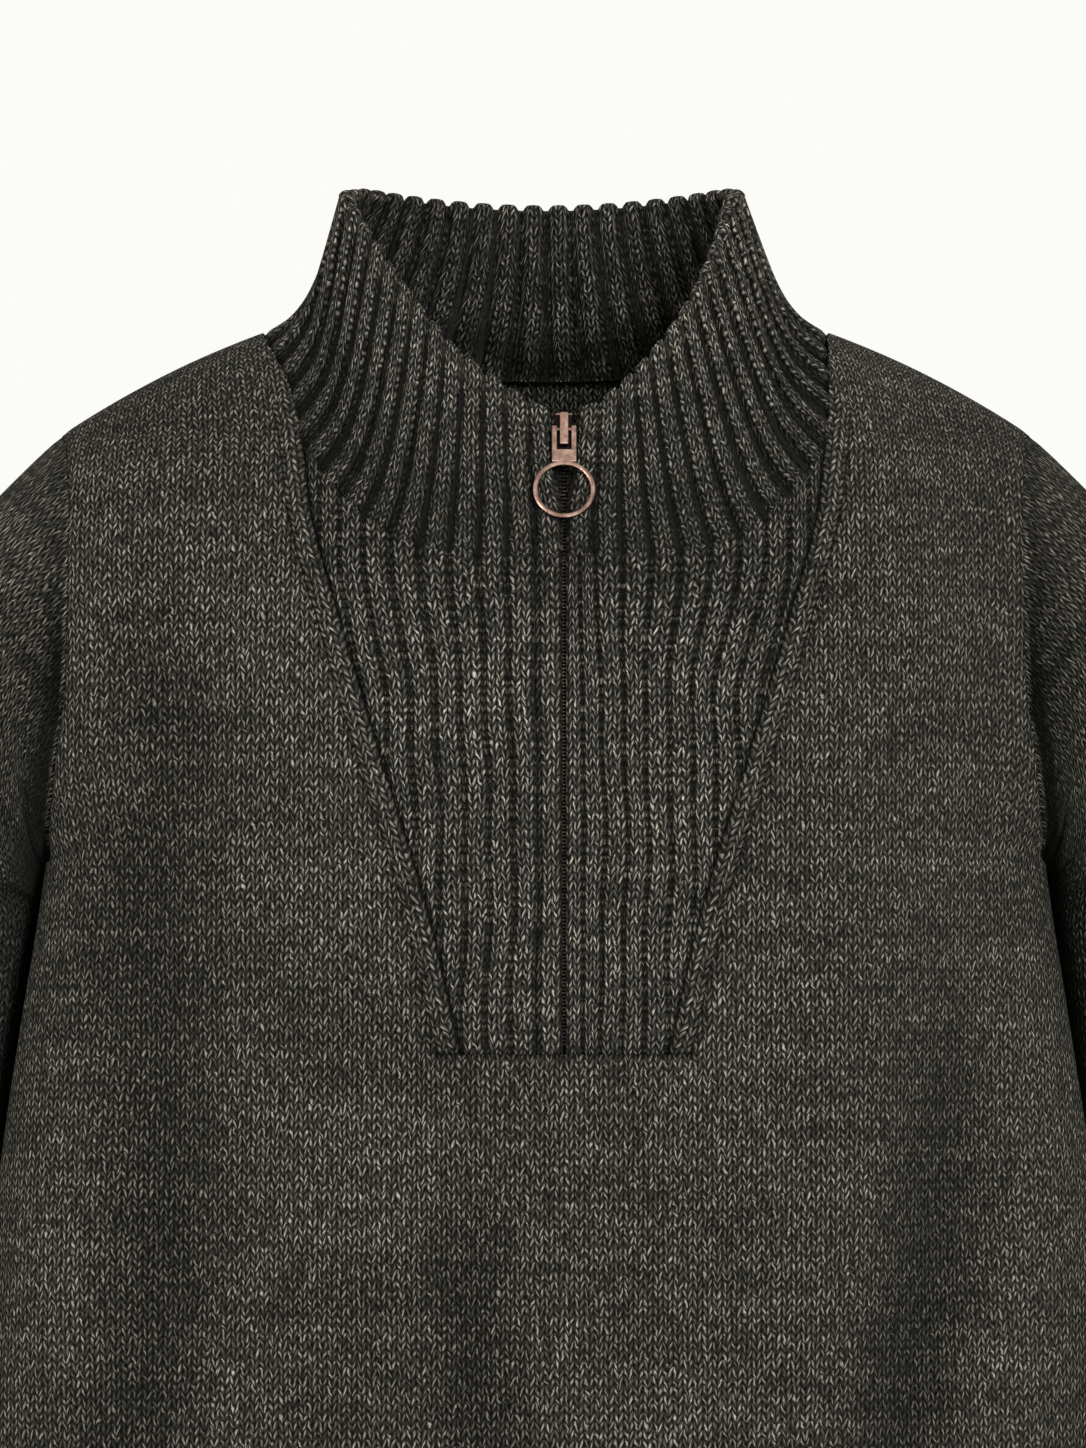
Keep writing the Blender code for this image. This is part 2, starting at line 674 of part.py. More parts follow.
front_body(knit)
back_body(knit)
for label, side_sign in (("left", -1), ("right", 1)):
    sleeve("sleeve_" + label, SLEEVE, side_sign, PANEL_WALL, 15, knit)
    sleeve("cuff_" + label, CUFF, side_sign, RIB_WALL, 3, rib)
    bib("bib_" + label, side_sign, rib)
hem("hem_front", -1, rib)
hem("hem_back", 1, rib)
collar(rib)
zip_tape(tape)
zip_slider(copper)
zip_pull(copper)
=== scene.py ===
"""Looks of the quarter zip sweater: ribs, folds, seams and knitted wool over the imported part.

Every sheet is worked out from the same sizes as its solid: a grid of points on the garment's surface,
moved in or out for ribs, folds and seams. Its UV map counts stitches, and the knit material draws them.
"""

from collections import namedtuple
from math import pi

import bpy
import numpy as np
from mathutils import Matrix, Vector


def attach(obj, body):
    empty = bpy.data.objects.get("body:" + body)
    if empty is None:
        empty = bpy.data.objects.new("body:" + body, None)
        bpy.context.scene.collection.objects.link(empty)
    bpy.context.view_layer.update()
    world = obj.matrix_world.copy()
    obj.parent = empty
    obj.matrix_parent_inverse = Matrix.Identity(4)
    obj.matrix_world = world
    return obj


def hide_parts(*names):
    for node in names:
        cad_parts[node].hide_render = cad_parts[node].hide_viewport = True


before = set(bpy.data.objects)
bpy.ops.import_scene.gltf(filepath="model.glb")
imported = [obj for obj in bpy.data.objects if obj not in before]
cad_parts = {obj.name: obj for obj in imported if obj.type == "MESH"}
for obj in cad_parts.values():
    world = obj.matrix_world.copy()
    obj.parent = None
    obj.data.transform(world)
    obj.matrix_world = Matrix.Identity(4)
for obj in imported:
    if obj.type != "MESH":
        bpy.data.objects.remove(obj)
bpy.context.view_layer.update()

# The garment's form, as in the part

NECK_HALF = 0.127
SHOULDER_SLOPE = 0.36
SHOULDER_DROOP = 1.6
SHOULDER_ROUND = 0.200
BACK_NECK_DROP = 0.018
WIDTH_POWER = 2.6
DEPTH_POWER = 2.2
ROUND_POWER = 2.2
SEAM = 0.00034
Torso = namedtuple("Torso", "z half front back")
TORSO = (
    Torso(0.030, 0.2200, 0.108, 0.094),
    Torso(-0.100, 0.2200, 0.115, 0.104),
    Torso(-0.200, 0.2220, 0.122, 0.110),
    Torso(-0.238, 0.2245, 0.124, 0.111),
    Torso(-0.310, 0.2350, 0.126, 0.112),
    Torso(-0.400, 0.2475, 0.126, 0.114),
    Torso(-0.500, 0.2565, 0.125, 0.118),
    Torso(-0.590, 0.2580, 0.122, 0.118),
    Torso(-0.620, 0.2460, 0.115, 0.111),
    Torso(-0.655, 0.2420, 0.112, 0.108),
)
HEM_SEAM_Z = -0.590
HEM_TURN_Z = -0.612  # the hem's rows lie closer below this
HEM_Z = -0.655
TIP_X, TIP_Z = 0.218, -0.046
UNDERARM_X, UNDERARM_Z = 0.2245, -0.238
ARMHOLE_HALF_DEPTH = 0.066
ARMHOLE_DIP = 0.0088
UNDERARM_PUSH = 0.0030  # how far the armhole seam bows out above the underarm
Sleeve = namedtuple("Sleeve", "near_x near_z far_x far_z half_depth back")
SLEEVE = (
    Sleeve(UNDERARM_X, UNDERARM_Z, TIP_X, TIP_Z, ARMHOLE_HALF_DEPTH, 0.000),
    Sleeve(0.2256, -0.2402, 0.2440, -0.0715, 0.0665, 0.002),
    Sleeve(0.2260, -0.2430, 0.2720, -0.1010, 0.0675, 0.006),
    Sleeve(0.2264, -0.2475, 0.2980, -0.1420, 0.0685, 0.012),
    Sleeve(0.2270, -0.2545, 0.3170, -0.1920, 0.0680, 0.020),
    Sleeve(0.2280, -0.2660, 0.3270, -0.2440, 0.0670, 0.027),
    Sleeve(0.2356, -0.3200, 0.3360, -0.3200, 0.0640, 0.034),
    Sleeve(0.2475, -0.4000, 0.3440, -0.4020, 0.0600, 0.031),
    Sleeve(0.2605, -0.4900, 0.3510, -0.4940, 0.0550, 0.020),
    Sleeve(0.2712, -0.5450, 0.3530, -0.5500, 0.0500, 0.008),
    Sleeve(0.2790, -0.5650, 0.3470, -0.5700, 0.0420, 0.003),
)
CUFF = (
    Sleeve(0.2792, -0.5655, 0.3468, -0.5705, 0.0418, 0.003),
    Sleeve(0.2860, -0.5850, 0.3440, -0.5890, 0.0350, 0.001),
    Sleeve(0.2890, -0.6300, 0.3450, -0.6340, 0.0330, 0.000),
)
Insert = namedtuple("Insert", "z half")
INSERT = (
    Insert(0.000, 0.1270),
    Insert(-0.023, 0.1205),
    Insert(-0.051, 0.1160),
    Insert(-0.086, 0.1110),
    Insert(-0.127, 0.0995),
    Insert(-0.195, 0.0790),
    Insert(-0.257, 0.0600),
    Insert(-0.320, 0.0455),
)
BIB_CORNER_Z = -0.051
BIB_BOTTOM_Z = -0.320
NECK_FRONT_Z = -0.101
NECK_FRONT_POWER = 4.6
CORNER_TURN, CORNER_POWER = 0.4, 1.9  # how far round the armhole the insert's corner lies, and its curve
COLLAR_TOP_HALF = 0.090
COLLAR_TOP_FRONT_Y = -0.080
COLLAR_TOP_BACK_Y = 0.052
COLLAR_FRONT_Z = -0.0325
COLLAR_SIDE_Z = 0.0670
COLLAR_BACK_Z = 0.0595
COLLAR_RISE_POWER = 2.0
COLLAR_CORNER, COLLAR_CORNER_POWER = 0.0035, 24
FLARE_FRONT, FLARE_BACK = 1.35, 1.6
SIDE_SWEEP, SIDE_SWEEP_POWER = 0.38, 7
FAN = 0.43
SLIT_HALF = 0.0006
SLIT_MOUTH_HALF = 0.0062
SLIT_ROLL = 0.12
ZIP_SHIFT = 0.0080
TAPE_HALF, TAPE_DEPTH = 0.013, 0.0076
TAPE_TOP_Z, TAPE_BOTTOM_Z = -0.043, -0.329
PIN_Z = -0.0470
PIN_PROUD = 0.0024
RING_LOW, RING_PROUD = 0.0396, 0.00175  # the ring's lowest point below the pin, and its height off the cloth
ZIP_TOP_TOOTH_Z, ZIP_LOW_TOOTH_Z, TOOTH_PITCH = -0.0565, -0.3170, 0.0032
TOOTH_SHIFT, TOOTH_TIP = 0.0007, 0.78  # a tooth's place off the middle, and the share of its size at its tip
Tooth = namedtuple("Tooth", "half_width half_height depth")
TOOTH = Tooth(0.0017, 0.0004, 0.0013)

# The knitting

WALE, COURSE = 0.0043, 0.00385  # a stitch's width and height
EVENED = 0.45  # how far the body's stitches are evened out across, for the view from the front
SLEEVE_GAUGE = 1.12  # size of a sleeve's stitches against the body's
RIB_DEPTH = 0.0027
RIB_CREST = 0.0041  # half a rib's crest
CREST_SHARE = 0.41  # half a crest is at most this share of the pitch
COLLAR_WALL = 0.0078
COLLAR_FIRST_RIB, COLLAR_RIBS = 0.0135, 23  # the first furrow's place from the zip, and the ribs behind it
COLLAR_SAG, COLLAR_LEAN = 0.0040, 0.0036  # how far the front edges dip at the top, and lean to the left
BENDS = np.linspace(0, pi, 15)[1:-1]  # angles of the rows over the collar's rolled edge
BIB_FURROWS_LEFT = (0.0123, 0.0228, 0.0337, 0.0442, 0.0551, 0.0665, 0.0770, 0.0870, 0.0975, 0.108)
BIB_FURROWS_RIGHT = (0.0082, 0.0166, 0.0263, 0.0355, 0.0457, 0.0560, 0.0655, 0.0758, 0.0862, 0.0970, 0.107)
LAST_PITCH = 0.0105  # pitch beyond the last furrow
# Where the collar's furrows meet the insert
COLLAR_FEET = (0.0133, 0.0255, 0.0380, 0.0510, 0.0641, 0.0769, 0.0886, 0.0990, 0.1080, 0.1158)
BAND = 0.0096  # width of the raised band along the insert
BAND_COLUMNS = 8  # columns of faces across it
BAND_TOP_Z = -0.03  # its stitches start below this
SLANT = 1.03  # length along x for a length square to the insert's sloping edge
ALL_EDGES = ("top", "bottom", "start", "end")
LIP = 0.0035  # how far a sheet's edge turns in at a seam
TUCK = 0.0045  # how far a sleeve's edge runs in under the body's
ROLL_ROWS = 8  # rows round the lower edge of the hem and the cuffs
HEM_ROLL, HEM_BACK_ROWS = 0.0026, 23  # radius of that edge, and the rows back up inside
CUFF_ROLL, CUFF_BACK_ROWS = 0.0024, 29
TAPE_THREAD = 0.0011  # pitch of the zip tape's threads

# Looks. A shade is painted shade: how dark a place is drawn in the material's colour, from 0 in the open to 1

FURROW_SHADE, COLLAR_FURROW_SHADE, EDGE_SHADE = 0.76, 0.94, 0.80  # in furrows; the last at hem and cuffs
SEAM_SHADE = 0.15
FOLD_SHADE = 72.0  # for each metre of a fold's depth
PAINTED_SHADING_STRENGTH = 0.94  # how much darker the most shaded places are painted, out of 1
DULL_COPPER, BRIGHT_COPPER = (0.215, 0.128, 0.098), (0.400, 0.268, 0.212)

# Creases: a line on the front or back (by its ends' x and z), half its width, and its depth
Crease = namedtuple("Crease", "x0 z0 x1 z1 width depth")
FRONT_CREASES = (
    Crease(-0.176, -0.250, -0.192, -0.585, 0.031, 0.0078),
    Crease(-0.176, -0.110, -0.178, -0.270, 0.022, 0.0030),
    Crease(-0.034, -0.385, -0.053, -0.585, 0.022, 0.0070),
    Crease(0.020, -0.420, 0.034, -0.560, 0.016, 0.0018),
    Crease(0.166, -0.300, 0.145, -0.585, 0.031, 0.0078),
    Crease(0.128, -0.100, 0.150, -0.240, 0.020, 0.0020),
    Crease(-0.205, -0.130, -0.150, -0.200, 0.015, 0.0020),
    Crease(0.200, -0.140, 0.150, -0.205, 0.014, 0.0018),
    Crease(-0.110, -0.300, -0.122, -0.400, 0.018, 0.0016),
    Crease(0.085, -0.400, 0.090, -0.530, 0.020, 0.0020),
)
BACK_CREASES = (
    Crease(-0.178, -0.210, -0.160, -0.580, 0.026, 0.0055),
    Crease(-0.085, -0.300, -0.098, -0.585, 0.028, 0.0045),
    Crease(0.012, -0.250, 0.020, -0.560, 0.032, 0.0036),
    Crease(0.104, -0.330, 0.090, -0.585, 0.024, 0.0048),
    Crease(0.186, -0.190, 0.176, -0.500, 0.022, 0.0050),
    Crease(-0.150, -0.050, -0.060, -0.090, 0.016, 0.0020),
    Crease(0.140, -0.045, 0.050, -0.085, 0.018, 0.0018),
)

# Sleeve creases: where along the table, the angle they are centred on, how long and wide, and depth
Wrinkle = namedtuple("Wrinkle", "place angle slant width length depth")
WRINKLES = (
    Wrinkle(1.3, 2.6, 0.5, 0.16, 1.1, 0.0040),
    Wrinkle(1.9, -2.7, -0.5, 0.18, 1.2, 0.0044),
    Wrinkle(2.7, 1.9, 0.4, 0.22, 1.3, 0.0036),
    Wrinkle(3.6, -1.7, -0.5, 0.20, 1.2, 0.0034),
    Wrinkle(4.6, 2.7, 0.3, 0.20, 1.5, 0.0040),
    Wrinkle(5.9, 1.2, 0.5, 0.16, 1.2, 0.0036),
    Wrinkle(6.2, -1.4, -0.4, 0.18, 1.3, 0.0038),
    Wrinkle(6.8, 2.5, 0.3, 0.15, 1.2, 0.0032),
    Wrinkle(7.5, 0.4, 0.6, 0.17, 1.3, 0.0030),
    Wrinkle(8.1, -2.2, -0.5, 0.16, 1.1, 0.0036),
    Wrinkle(8.6, 1.5, 0.4, 0.15, 1.2, 0.0038),
    Wrinkle(9.1, -0.8, -0.5, 0.13, 1.2, 0.0036),
    Wrinkle(9.4, 2.7, 0.3, 0.12, 1.0, 0.0030),
)


def smooth(low, high, value):
    share = np.clip((value - low) / (high - low), 0.0, 1.0)
    return share * share * (3 - 2 * share)


def mix(a, b, share):
    return a + (b - a) * share


def bump(distance, width):
    """A soft hump, 1 where the distance is 0."""
    return np.exp(-((distance / width) ** 2))


def unit(vectors):
    return vectors / np.linalg.norm(vectors, axis=-1, keepdims=True)


def read(table, place, column, key=None):
    """A column of a table as a smooth curve, by its key column or by its row number from 0."""
    keys = np.array([getattr(row, key) if key else float(i) for i, row in enumerate(table)])
    values = np.array([getattr(row, column) for row in table])
    if keys[0] > keys[-1]:
        keys, values = keys[::-1], values[::-1]
    last = len(keys) - 1
    before, after = np.maximum(np.arange(last + 1) - 1, 0), np.minimum(np.arange(last + 1) + 1, last)
    slopes = (values[after] - values[before]) / (keys[after] - keys[before])
    place = np.clip(place, keys[0], keys[-1])
    i = np.clip(np.searchsorted(keys, place, side="right") - 1, 0, last - 1)
    run = keys[i + 1] - keys[i]
    t = (place - keys[i]) / run
    return (
        values[i] * (2 * t**3 - 3 * t**2 + 1)
        + slopes[i] * run * (t**3 - 2 * t**2 + t)
        + values[i + 1] * (3 * t**2 - 2 * t**3)
        + slopes[i + 1] * run * (t**3 - t**2)
    )


def shoulder_z(x):
    out = np.abs(x) - NECK_HALF
    over = 0.5 * SHOULDER_SLOPE * NECK_HALF * (1 - (x / NECK_HALF) ** 2)
    return np.where(out > 0, -SHOULDER_SLOPE * out - SHOULDER_DROOP * out * out, over)


def shoulder_share(x, z):
    """How much of its full depth the torso has at x, z, below the rounded shoulder."""
    above = 1 - (shoulder_z(x) - z) / SHOULDER_ROUND
    return 1 - np.maximum(above, 0.0) ** ROUND_POWER


def depth(z, face):
    return read(TORSO, z, "front" if face < 0 else "back", "z")


def armhole(angle):
    """The armhole seam on the right, from the shoulder's tip (angle 0) to the underarm (pi)."""
    share = (1 - np.cos(angle)) / 2
    x = mix(TIP_X, UNDERARM_X, share) - ARMHOLE_DIP * np.sin(angle)
    return x, ARMHOLE_HALF_DEPTH * np.sin(angle), mix(TIP_Z, UNDERARM_Z, share)


def torso_half(z, face):
    """Half the width that the torso's outline needs at height z to pass through the armhole seam."""
    height = np.clip((TIP_Z - z) / (TIP_Z - UNDERARM_Z), 0.003, 1.0)
    x, y, level = armhole(pi - 2 * np.arcsin(np.sqrt(1 - height)))
    filled = (y / depth(level, face)) ** DEPTH_POWER / shoulder_share(x, level)
    beside = x / (1 - np.minimum(filled, 0.7)) ** (1 / WIDTH_POWER)
    return np.where(z <= UNDERARM_Z, read(TORSO, z, "half", "z"), beside)


def torso(x, z, face):
    """Points of the torso at x, z on its front (face -1) or back (face 1)."""
    full = shoulder_share(x, z) * (1 - (np.abs(x) / torso_half(z, face)) ** WIDTH_POWER)
    y = depth(z, face) * np.maximum(full, 0.0) ** (1 / DEPTH_POWER)
    return np.stack(np.broadcast_arrays(x, face * np.maximum(y, SEAM / 2), z), axis=-1)


def sideways(points):
    """The front hangs a little to one side: the middle of its face moves over, its edges stay."""
    moved = points.copy()
    weight = smooth(0.020, 0.075, -points[..., 1]) * (1 - smooth(0.130, 0.205, np.abs(points[..., 0])))
    moved[..., 0] += ZIP_SHIFT * weight
    return moved


def insert_half(z):
    return read(INSERT, z, "half", "z")


def underarm_shift(z):
    """How far outwards the armhole seam is pushed just above the underarm, to run on into the body's side."""
    start, end = UNDERARM_Z, UNDERARM_Z + 0.085
    return UNDERARM_PUSH * smooth(start, start + 0.014, z) * smooth(end, end - 0.049, z)


# Grids of points


def lengths(points, axis):
    """Length run from the first row (axis 0) or column (axis 1) of a grid."""
    steps = np.linalg.norm(np.diff(points, axis=axis), axis=-1)
    pad = [(0, 0), (0, 0)]
    pad[axis] = (1, 0)
    return np.cumsum(np.pad(steps, pad), axis=axis)


def edge_distance(points, edges):
    """Distance from each point of a grid to the nearest of the named edges."""
    near = np.full(points.shape[:2], 1.0)
    down, across = lengths(points, 0), lengths(points, 1)
    each = {"top": down, "bottom": down[-1:] - down, "start": across, "end": across[:, -1:] - across}
    for edge in edges:
        near = np.minimum(near, each[edge])
    return near


def ways_out(points, ring=False, middle=None):
    """Unit normals of a grid, pointing away from the garment's middle."""
    down = np.gradient(points, axis=0)
    across = (np.roll(points, -1, 1) - np.roll(points, 1, 1)) / 2 if ring else np.gradient(points, axis=1)
    way = np.cross(across, down)
    way /= np.maximum(np.linalg.norm(way, axis=-1, keepdims=True), 1e-12)
    outside = points - middle if middle is not None else points * (1, 1, 0)
    return way * np.sign((way * outside).sum())


def arc_to(x0, z0, x1, z1, face, steps=28):
    """Length along the torso's surface from one place to another, straight in x and z."""
    share = 1 - (1 - np.linspace(0, 1, steps)) ** 2
    reach = [torso(mix(x0, x1, s), mix(z0, z1, s), face) for s in share]
    return sum(np.linalg.norm(b - a, axis=-1) for a, b in zip(reach, reach[1:]))


def creases(x, z, table):
    """Depth of all soft creases at x, z. Each has a low ridge on both sides."""
    total = np.zeros(np.shape(x))
    for c in table:
        dx, dz = c.x1 - c.x0, c.z1 - c.z0
        run = (dx * dx + dz * dz) ** 0.5
        along_it = ((x - c.x0) * dx + (z - c.z0) * dz) / run**2
        off = ((x - c.x0) * dz - (z - c.z0) * dx) / run
        off = off + 0.35 * c.width * np.sin(5.1 * along_it + 40 * c.x0)
        ends = smooth(-0.22, 0.30, along_it) * (1 - smooth(0.72, 1.22, along_it))
        total += c.depth * ends * (bump(off, c.width) - 0.35 * bump(np.abs(off) - 1.9 * c.width, c.width))
    return total


def add_mesh(name, verts, faces, uv=None, painted_shading=None):
    mesh = bpy.data.meshes.new(name)
    mesh.vertices.add(len(verts))
    mesh.vertices.foreach_set("co", np.asarray(verts, np.float32).ravel())
    mesh.loops.add(faces.size)
    mesh.loops.foreach_set("vertex_index", faces.astype(np.int32).ravel())
    mesh.polygons.add(len(faces))
    mesh.polygons.foreach_set("loop_start", (np.arange(len(faces)) * faces.shape[1]).astype(np.int32))
    mesh.update(calc_edges=True)
    if uv is not None:
        layer = mesh.uv_layers.new(name="stitch")
        layer.data.foreach_set("uv", np.asarray(uv, np.float32).ravel())
    if painted_shading is not None:
        # The attribute holds painted shade, and painted light below 0, for the knit material
        attribute = mesh.attributes.new("painted_shading", "FLOAT", "POINT")
        attribute.data.foreach_set("value", np.asarray(painted_shading, np.float32))
    mesh.shade_smooth()
    obj = bpy.data.objects.new(name, mesh)
    bpy.context.scene.collection.objects.link(obj)
    return obj


def sheet(name, points, uv, painted_shading, ring=False, keep=None, uv_choice=None):
    """A mesh over a grid of points. uv is in stitches, with one more column than points on a ring.
    painted_shading is the shade painted at a point: 1 in a furrow, 0 in the open and below 0 where light
    is painted. keep masks faces, and uv_choice is (mask of faces, other uv) for faces that count stitches
    another way."""
    rows, columns = points.shape[:2]
    index = np.arange(rows * columns).reshape(rows, columns)
    if ring:
        index = np.hstack((index, index[:, :1]))
    wide = index.shape[1]
    corners = np.stack((index[:-1, :-1], index[1:, :-1], index[1:, 1:], index[:-1, 1:]), -1)
    where = np.arange(rows * wide).reshape(rows, wide)
    places = np.stack((where[:-1, :-1], where[1:, :-1], where[1:, 1:], where[:-1, 1:]), -1)
    chosen = uv.reshape(-1, 2)[places]
    if uv_choice is not None:
        mask, other = uv_choice
        chosen = np.where(mask[..., None, None], other.reshape(-1, 2)[places], chosen)
    keep = np.ones(corners.shape[:2], bool) if keep is None else keep
    corners, chosen = corners[keep], chosen[keep]
    used, faces = np.unique(corners, return_inverse=True)
    return add_mesh(name, points.reshape(-1, 3)[used], faces.reshape(-1, 4), chosen, painted_shading.reshape(-1)[used])


def turned_in(points, way, uv, painted_shading, edges):
    """The grid with a lip at each named edge, where a seam draws the cloth in. Each lip gets the darkest
    painted shade, as the seam's shadow.
    """
    pads = [(int("top" in edges), int("bottom" in edges)), (int("start" in edges), int("end" in edges))]
    points, way, uv = (np.pad(a, pads + [(0, 0)], mode="edge") for a in (points, way, uv))
    painted_shading = np.pad(painted_shading, pads, mode="edge")
    lip = np.zeros(painted_shading.shape)
    rims = {"top": np.s_[0], "bottom": np.s_[-1], "start": np.s_[:, 0], "end": np.s_[:, -1]}
    for edge in edges:
        lip[rims[edge]] = LIP
    return points - way * lip[..., None], uv, np.where(lip > 0, 1.0, painted_shading)


def darker(painted_shading, shade):
    """A point's painted shading with more painted shade laid over it."""
    return 1 - (1 - painted_shading) * (1 - shade)


def seam_groove(near, width=0.0034, size=0.0006):
    """Depth of the groove that a seam makes, by distance from it."""
    return size * bump(near, width)


# Ribbing


def rib_form(off, pitch):
    """A rib's depth below its crest at a distance from its middle, for a pitch, and how far down its side."""
    crest = np.minimum(RIB_CREST, CREST_SHARE * pitch)
    off = np.abs(off)
    sides = smooth(0.74 * crest, 1.24 * crest, off)
    return RIB_DEPTH * (0.20 * (off / crest).clip(0, 1) ** 2 + 0.80 * sides), sides


def rib_wales(off, pitch):
    """Stitches from a rib's middle: two columns on its crest, and the rest of the pitch beyond."""
    return off / np.minimum(RIB_CREST, CREST_SHARE * pitch)


def rib_round(place, pitch):
    """For places counted in ribs: the distance from the rib's middle, and the stitches from the start."""
    count = np.floor(place)
    off = (place - count - 0.5) * pitch
    return off, count * 2 + 1 + rib_wales(off, pitch)


def rolled_under(points, way, radius, rows):
    """A free edge's rows: round below the last row of points, then back up inside by so many rows."""
    down = np.array((0.0, 0.0, -1.0))
    turns = np.linspace(0, pi, ROLL_ROWS + 1)[1:]
    under = [points[-1] - way[-1] * radius * (1 - np.cos(a)) + down * radius * np.sin(a) for a in turns]
    back = slice(-2, -2 - rows, -1)
    return np.concatenate((np.array(under), points[back] - way[back] * 2 * radius))


def along_roll(values, rows):
    """Values for the rows of points and for those that rolled_under adds."""
    return np.concatenate((values, np.repeat(values[-1:], ROLL_ROWS, 0), values[-2 : -2 - rows : -1]))


# Body panels


def panel_rows(face):
    """For each row of a panel: x and z at the armhole or side seam, and z at the insert or the neck."""
    turn = np.linspace(0, 1, 76, endpoint=False)
    x, _, z = armhole(pi * turn)
    past_corner = (turn - CORNER_TURN) / (1 - CORNER_TURN)
    inner_z = np.where(
        turn < CORNER_TURN,
        BIB_CORNER_Z * (turn / CORNER_TURN) ** CORNER_POWER,
        mix(BIB_CORNER_Z, UNDERARM_Z, past_corner),
    )
    if face < 0:
        start, end = BIB_BOTTOM_Z + 0.0075, BIB_BOTTOM_Z - 0.0085
        steps = (
            np.linspace(UNDERARM_Z, start, 24, endpoint=False),
            np.linspace(start, end, 17, endpoint=False),
            np.linspace(end, HEM_SEAM_Z, 80),
        )
        below = np.concatenate(steps)
        below[np.argmin(np.abs(below - BIB_BOTTOM_Z))] = BIB_BOTTOM_Z
    else:
        below = np.linspace(UNDERARM_Z, HEM_SEAM_Z, 104)
    edge_x = np.concatenate((x, read(TORSO, below, "half", "z")))[:, None]
    edge_z = np.concatenate((z, below))[:, None]
    edge_z[0] = shoulder_z(edge_x[0])
    return edge_x, edge_z, np.concatenate((inner_z, below))[:, None]


def panel_middle(face, inner_x, inner_z):
    """x and z between the two sides of the insert or the neck."""
    if face < 0:
        span = np.linspace(1, -1, 42)[1:-1][None, :]
        return inner_x * span, np.broadcast_to(inner_z, (len(inner_z), span.shape[1]))
    x = NECK_HALF * np.sin(pi / 2 * np.linspace(1, -1, 74)[1:-1][None, :])
    follow = 1 - smooth(0.0, -UNDERARM_Z, -inner_z)
    z = inner_z - BACK_NECK_DROP * (1 - (x / NECK_HALF) ** 2) * follow
    return np.broadcast_to(x, z.shape), z


def panel_grid(face):
    """x and z of a panel's points, and its columns of faces on each side of the insert or the neck."""
    edge_x, edge_z, inner_z = panel_rows(face)
    if face < 0:
        inner_x = insert_half(inner_z)
        band = SLANT * np.linspace(BAND, 0, BAND_COLUMNS + 1)[None, :]
    else:
        inner_x = np.full(inner_z.shape, NECK_HALF)
        band = np.zeros((1, 1))
    wing = np.linspace(0, 1, 62, endpoint=False)[None, :]
    band_x = inner_x + band[:, :1]
    rise = shoulder_z(inner_x) - shoulder_z(edge_x)
    zs = np.broadcast_to(edge_z, (len(edge_z), wing.shape[1])).copy()
    # The rows follow the shoulder's slope, and where a row lies depends on x: a few rounds settle it
    for _ in range(9):
        half = np.maximum(torso_half(zs, face), edge_x)
        xs = half * np.sin(mix(np.arcsin(edge_x / half), np.arcsin(np.minimum(band_x / half, 1)), wing))
        zs = mix(edge_z, inner_z, (shoulder_z(xs) - shoulder_z(edge_x)) / rise)
    xs = np.hstack((xs, inner_x + band))
    band_z = mix(edge_z, inner_z, (shoulder_z(inner_x + band) - shoulder_z(edge_x)) / rise)
    zs = np.hstack((zs, band_z))
    xs[0] = np.linspace(edge_x[0, 0], inner_x[0, 0], xs.shape[1])
    zs[0] = shoulder_z(xs[0])
    middle_x, middle_z = panel_middle(face, inner_x, inner_z)
    x = np.hstack((xs, middle_x, -xs[:, ::-1]))
    return x, np.hstack((zs, middle_z, zs[:, ::-1])), xs.shape[1] - 1


def band_relief(x, z):
    """The raised band along the insert, with the seams beside and below: dip, painted shade in its grooves
    and seam, and place across it.
    """
    from_edge = (np.abs(x) - insert_half(z)) / SLANT
    across = from_edge / BAND
    here = smooth(-0.012, -0.055, z) * smooth(BIB_BOTTOM_Z - 0.0015, BIB_BOTTOM_Z + 0.003, z)
    here = here * smooth(-0.004, 0.0, from_edge)
    ridge = 0.0021 * np.sin(pi * across.clip(0, 1)) ** 0.8
    grooves = 0.0030 * bump(from_edge, 0.0016) + 0.0011 * bump(from_edge - BAND, 0.0012)
    shade = here * (0.9 * bump(from_edge, 0.0013) + 0.45 * bump(from_edge - BAND, 0.0010))
    below = BIB_BOTTOM_Z - z
    at_seam = bump(below, 0.0015) * (1 - smooth(0.0, 0.004, from_edge - BAND))
    under_seam = bump(below - 0.0042, 0.0026) * (1 - smooth(0.0, 0.006, from_edge - BAND))
    dip = (grooves - ridge) * here + 0.0024 * at_seam - 0.0009 * under_seam
    return dip, shade + 0.9 * at_seam, across


def front_faces(z, wide):
    """Masks of the front's faces, lips included: all but the insert's, and those of the band along it."""
    column = np.arange(z.shape[1] - 1)
    from_side = np.minimum(column, column[::-1])
    middle = from_side >= wide
    above = (z[1:, wide] > BIB_BOTTOM_Z - 1e-6)[:, None]
    below_neck = (z[:-1, wide] < BAND_TOP_Z)[:, None]
    keep = np.pad(~(middle & above), 1, mode="edge")
    keep[0] = np.pad(~middle, 1, constant_values=True)
    return keep, np.pad((from_side >= wide - BAND_COLUMNS) & ~middle & above & below_neck, 1)


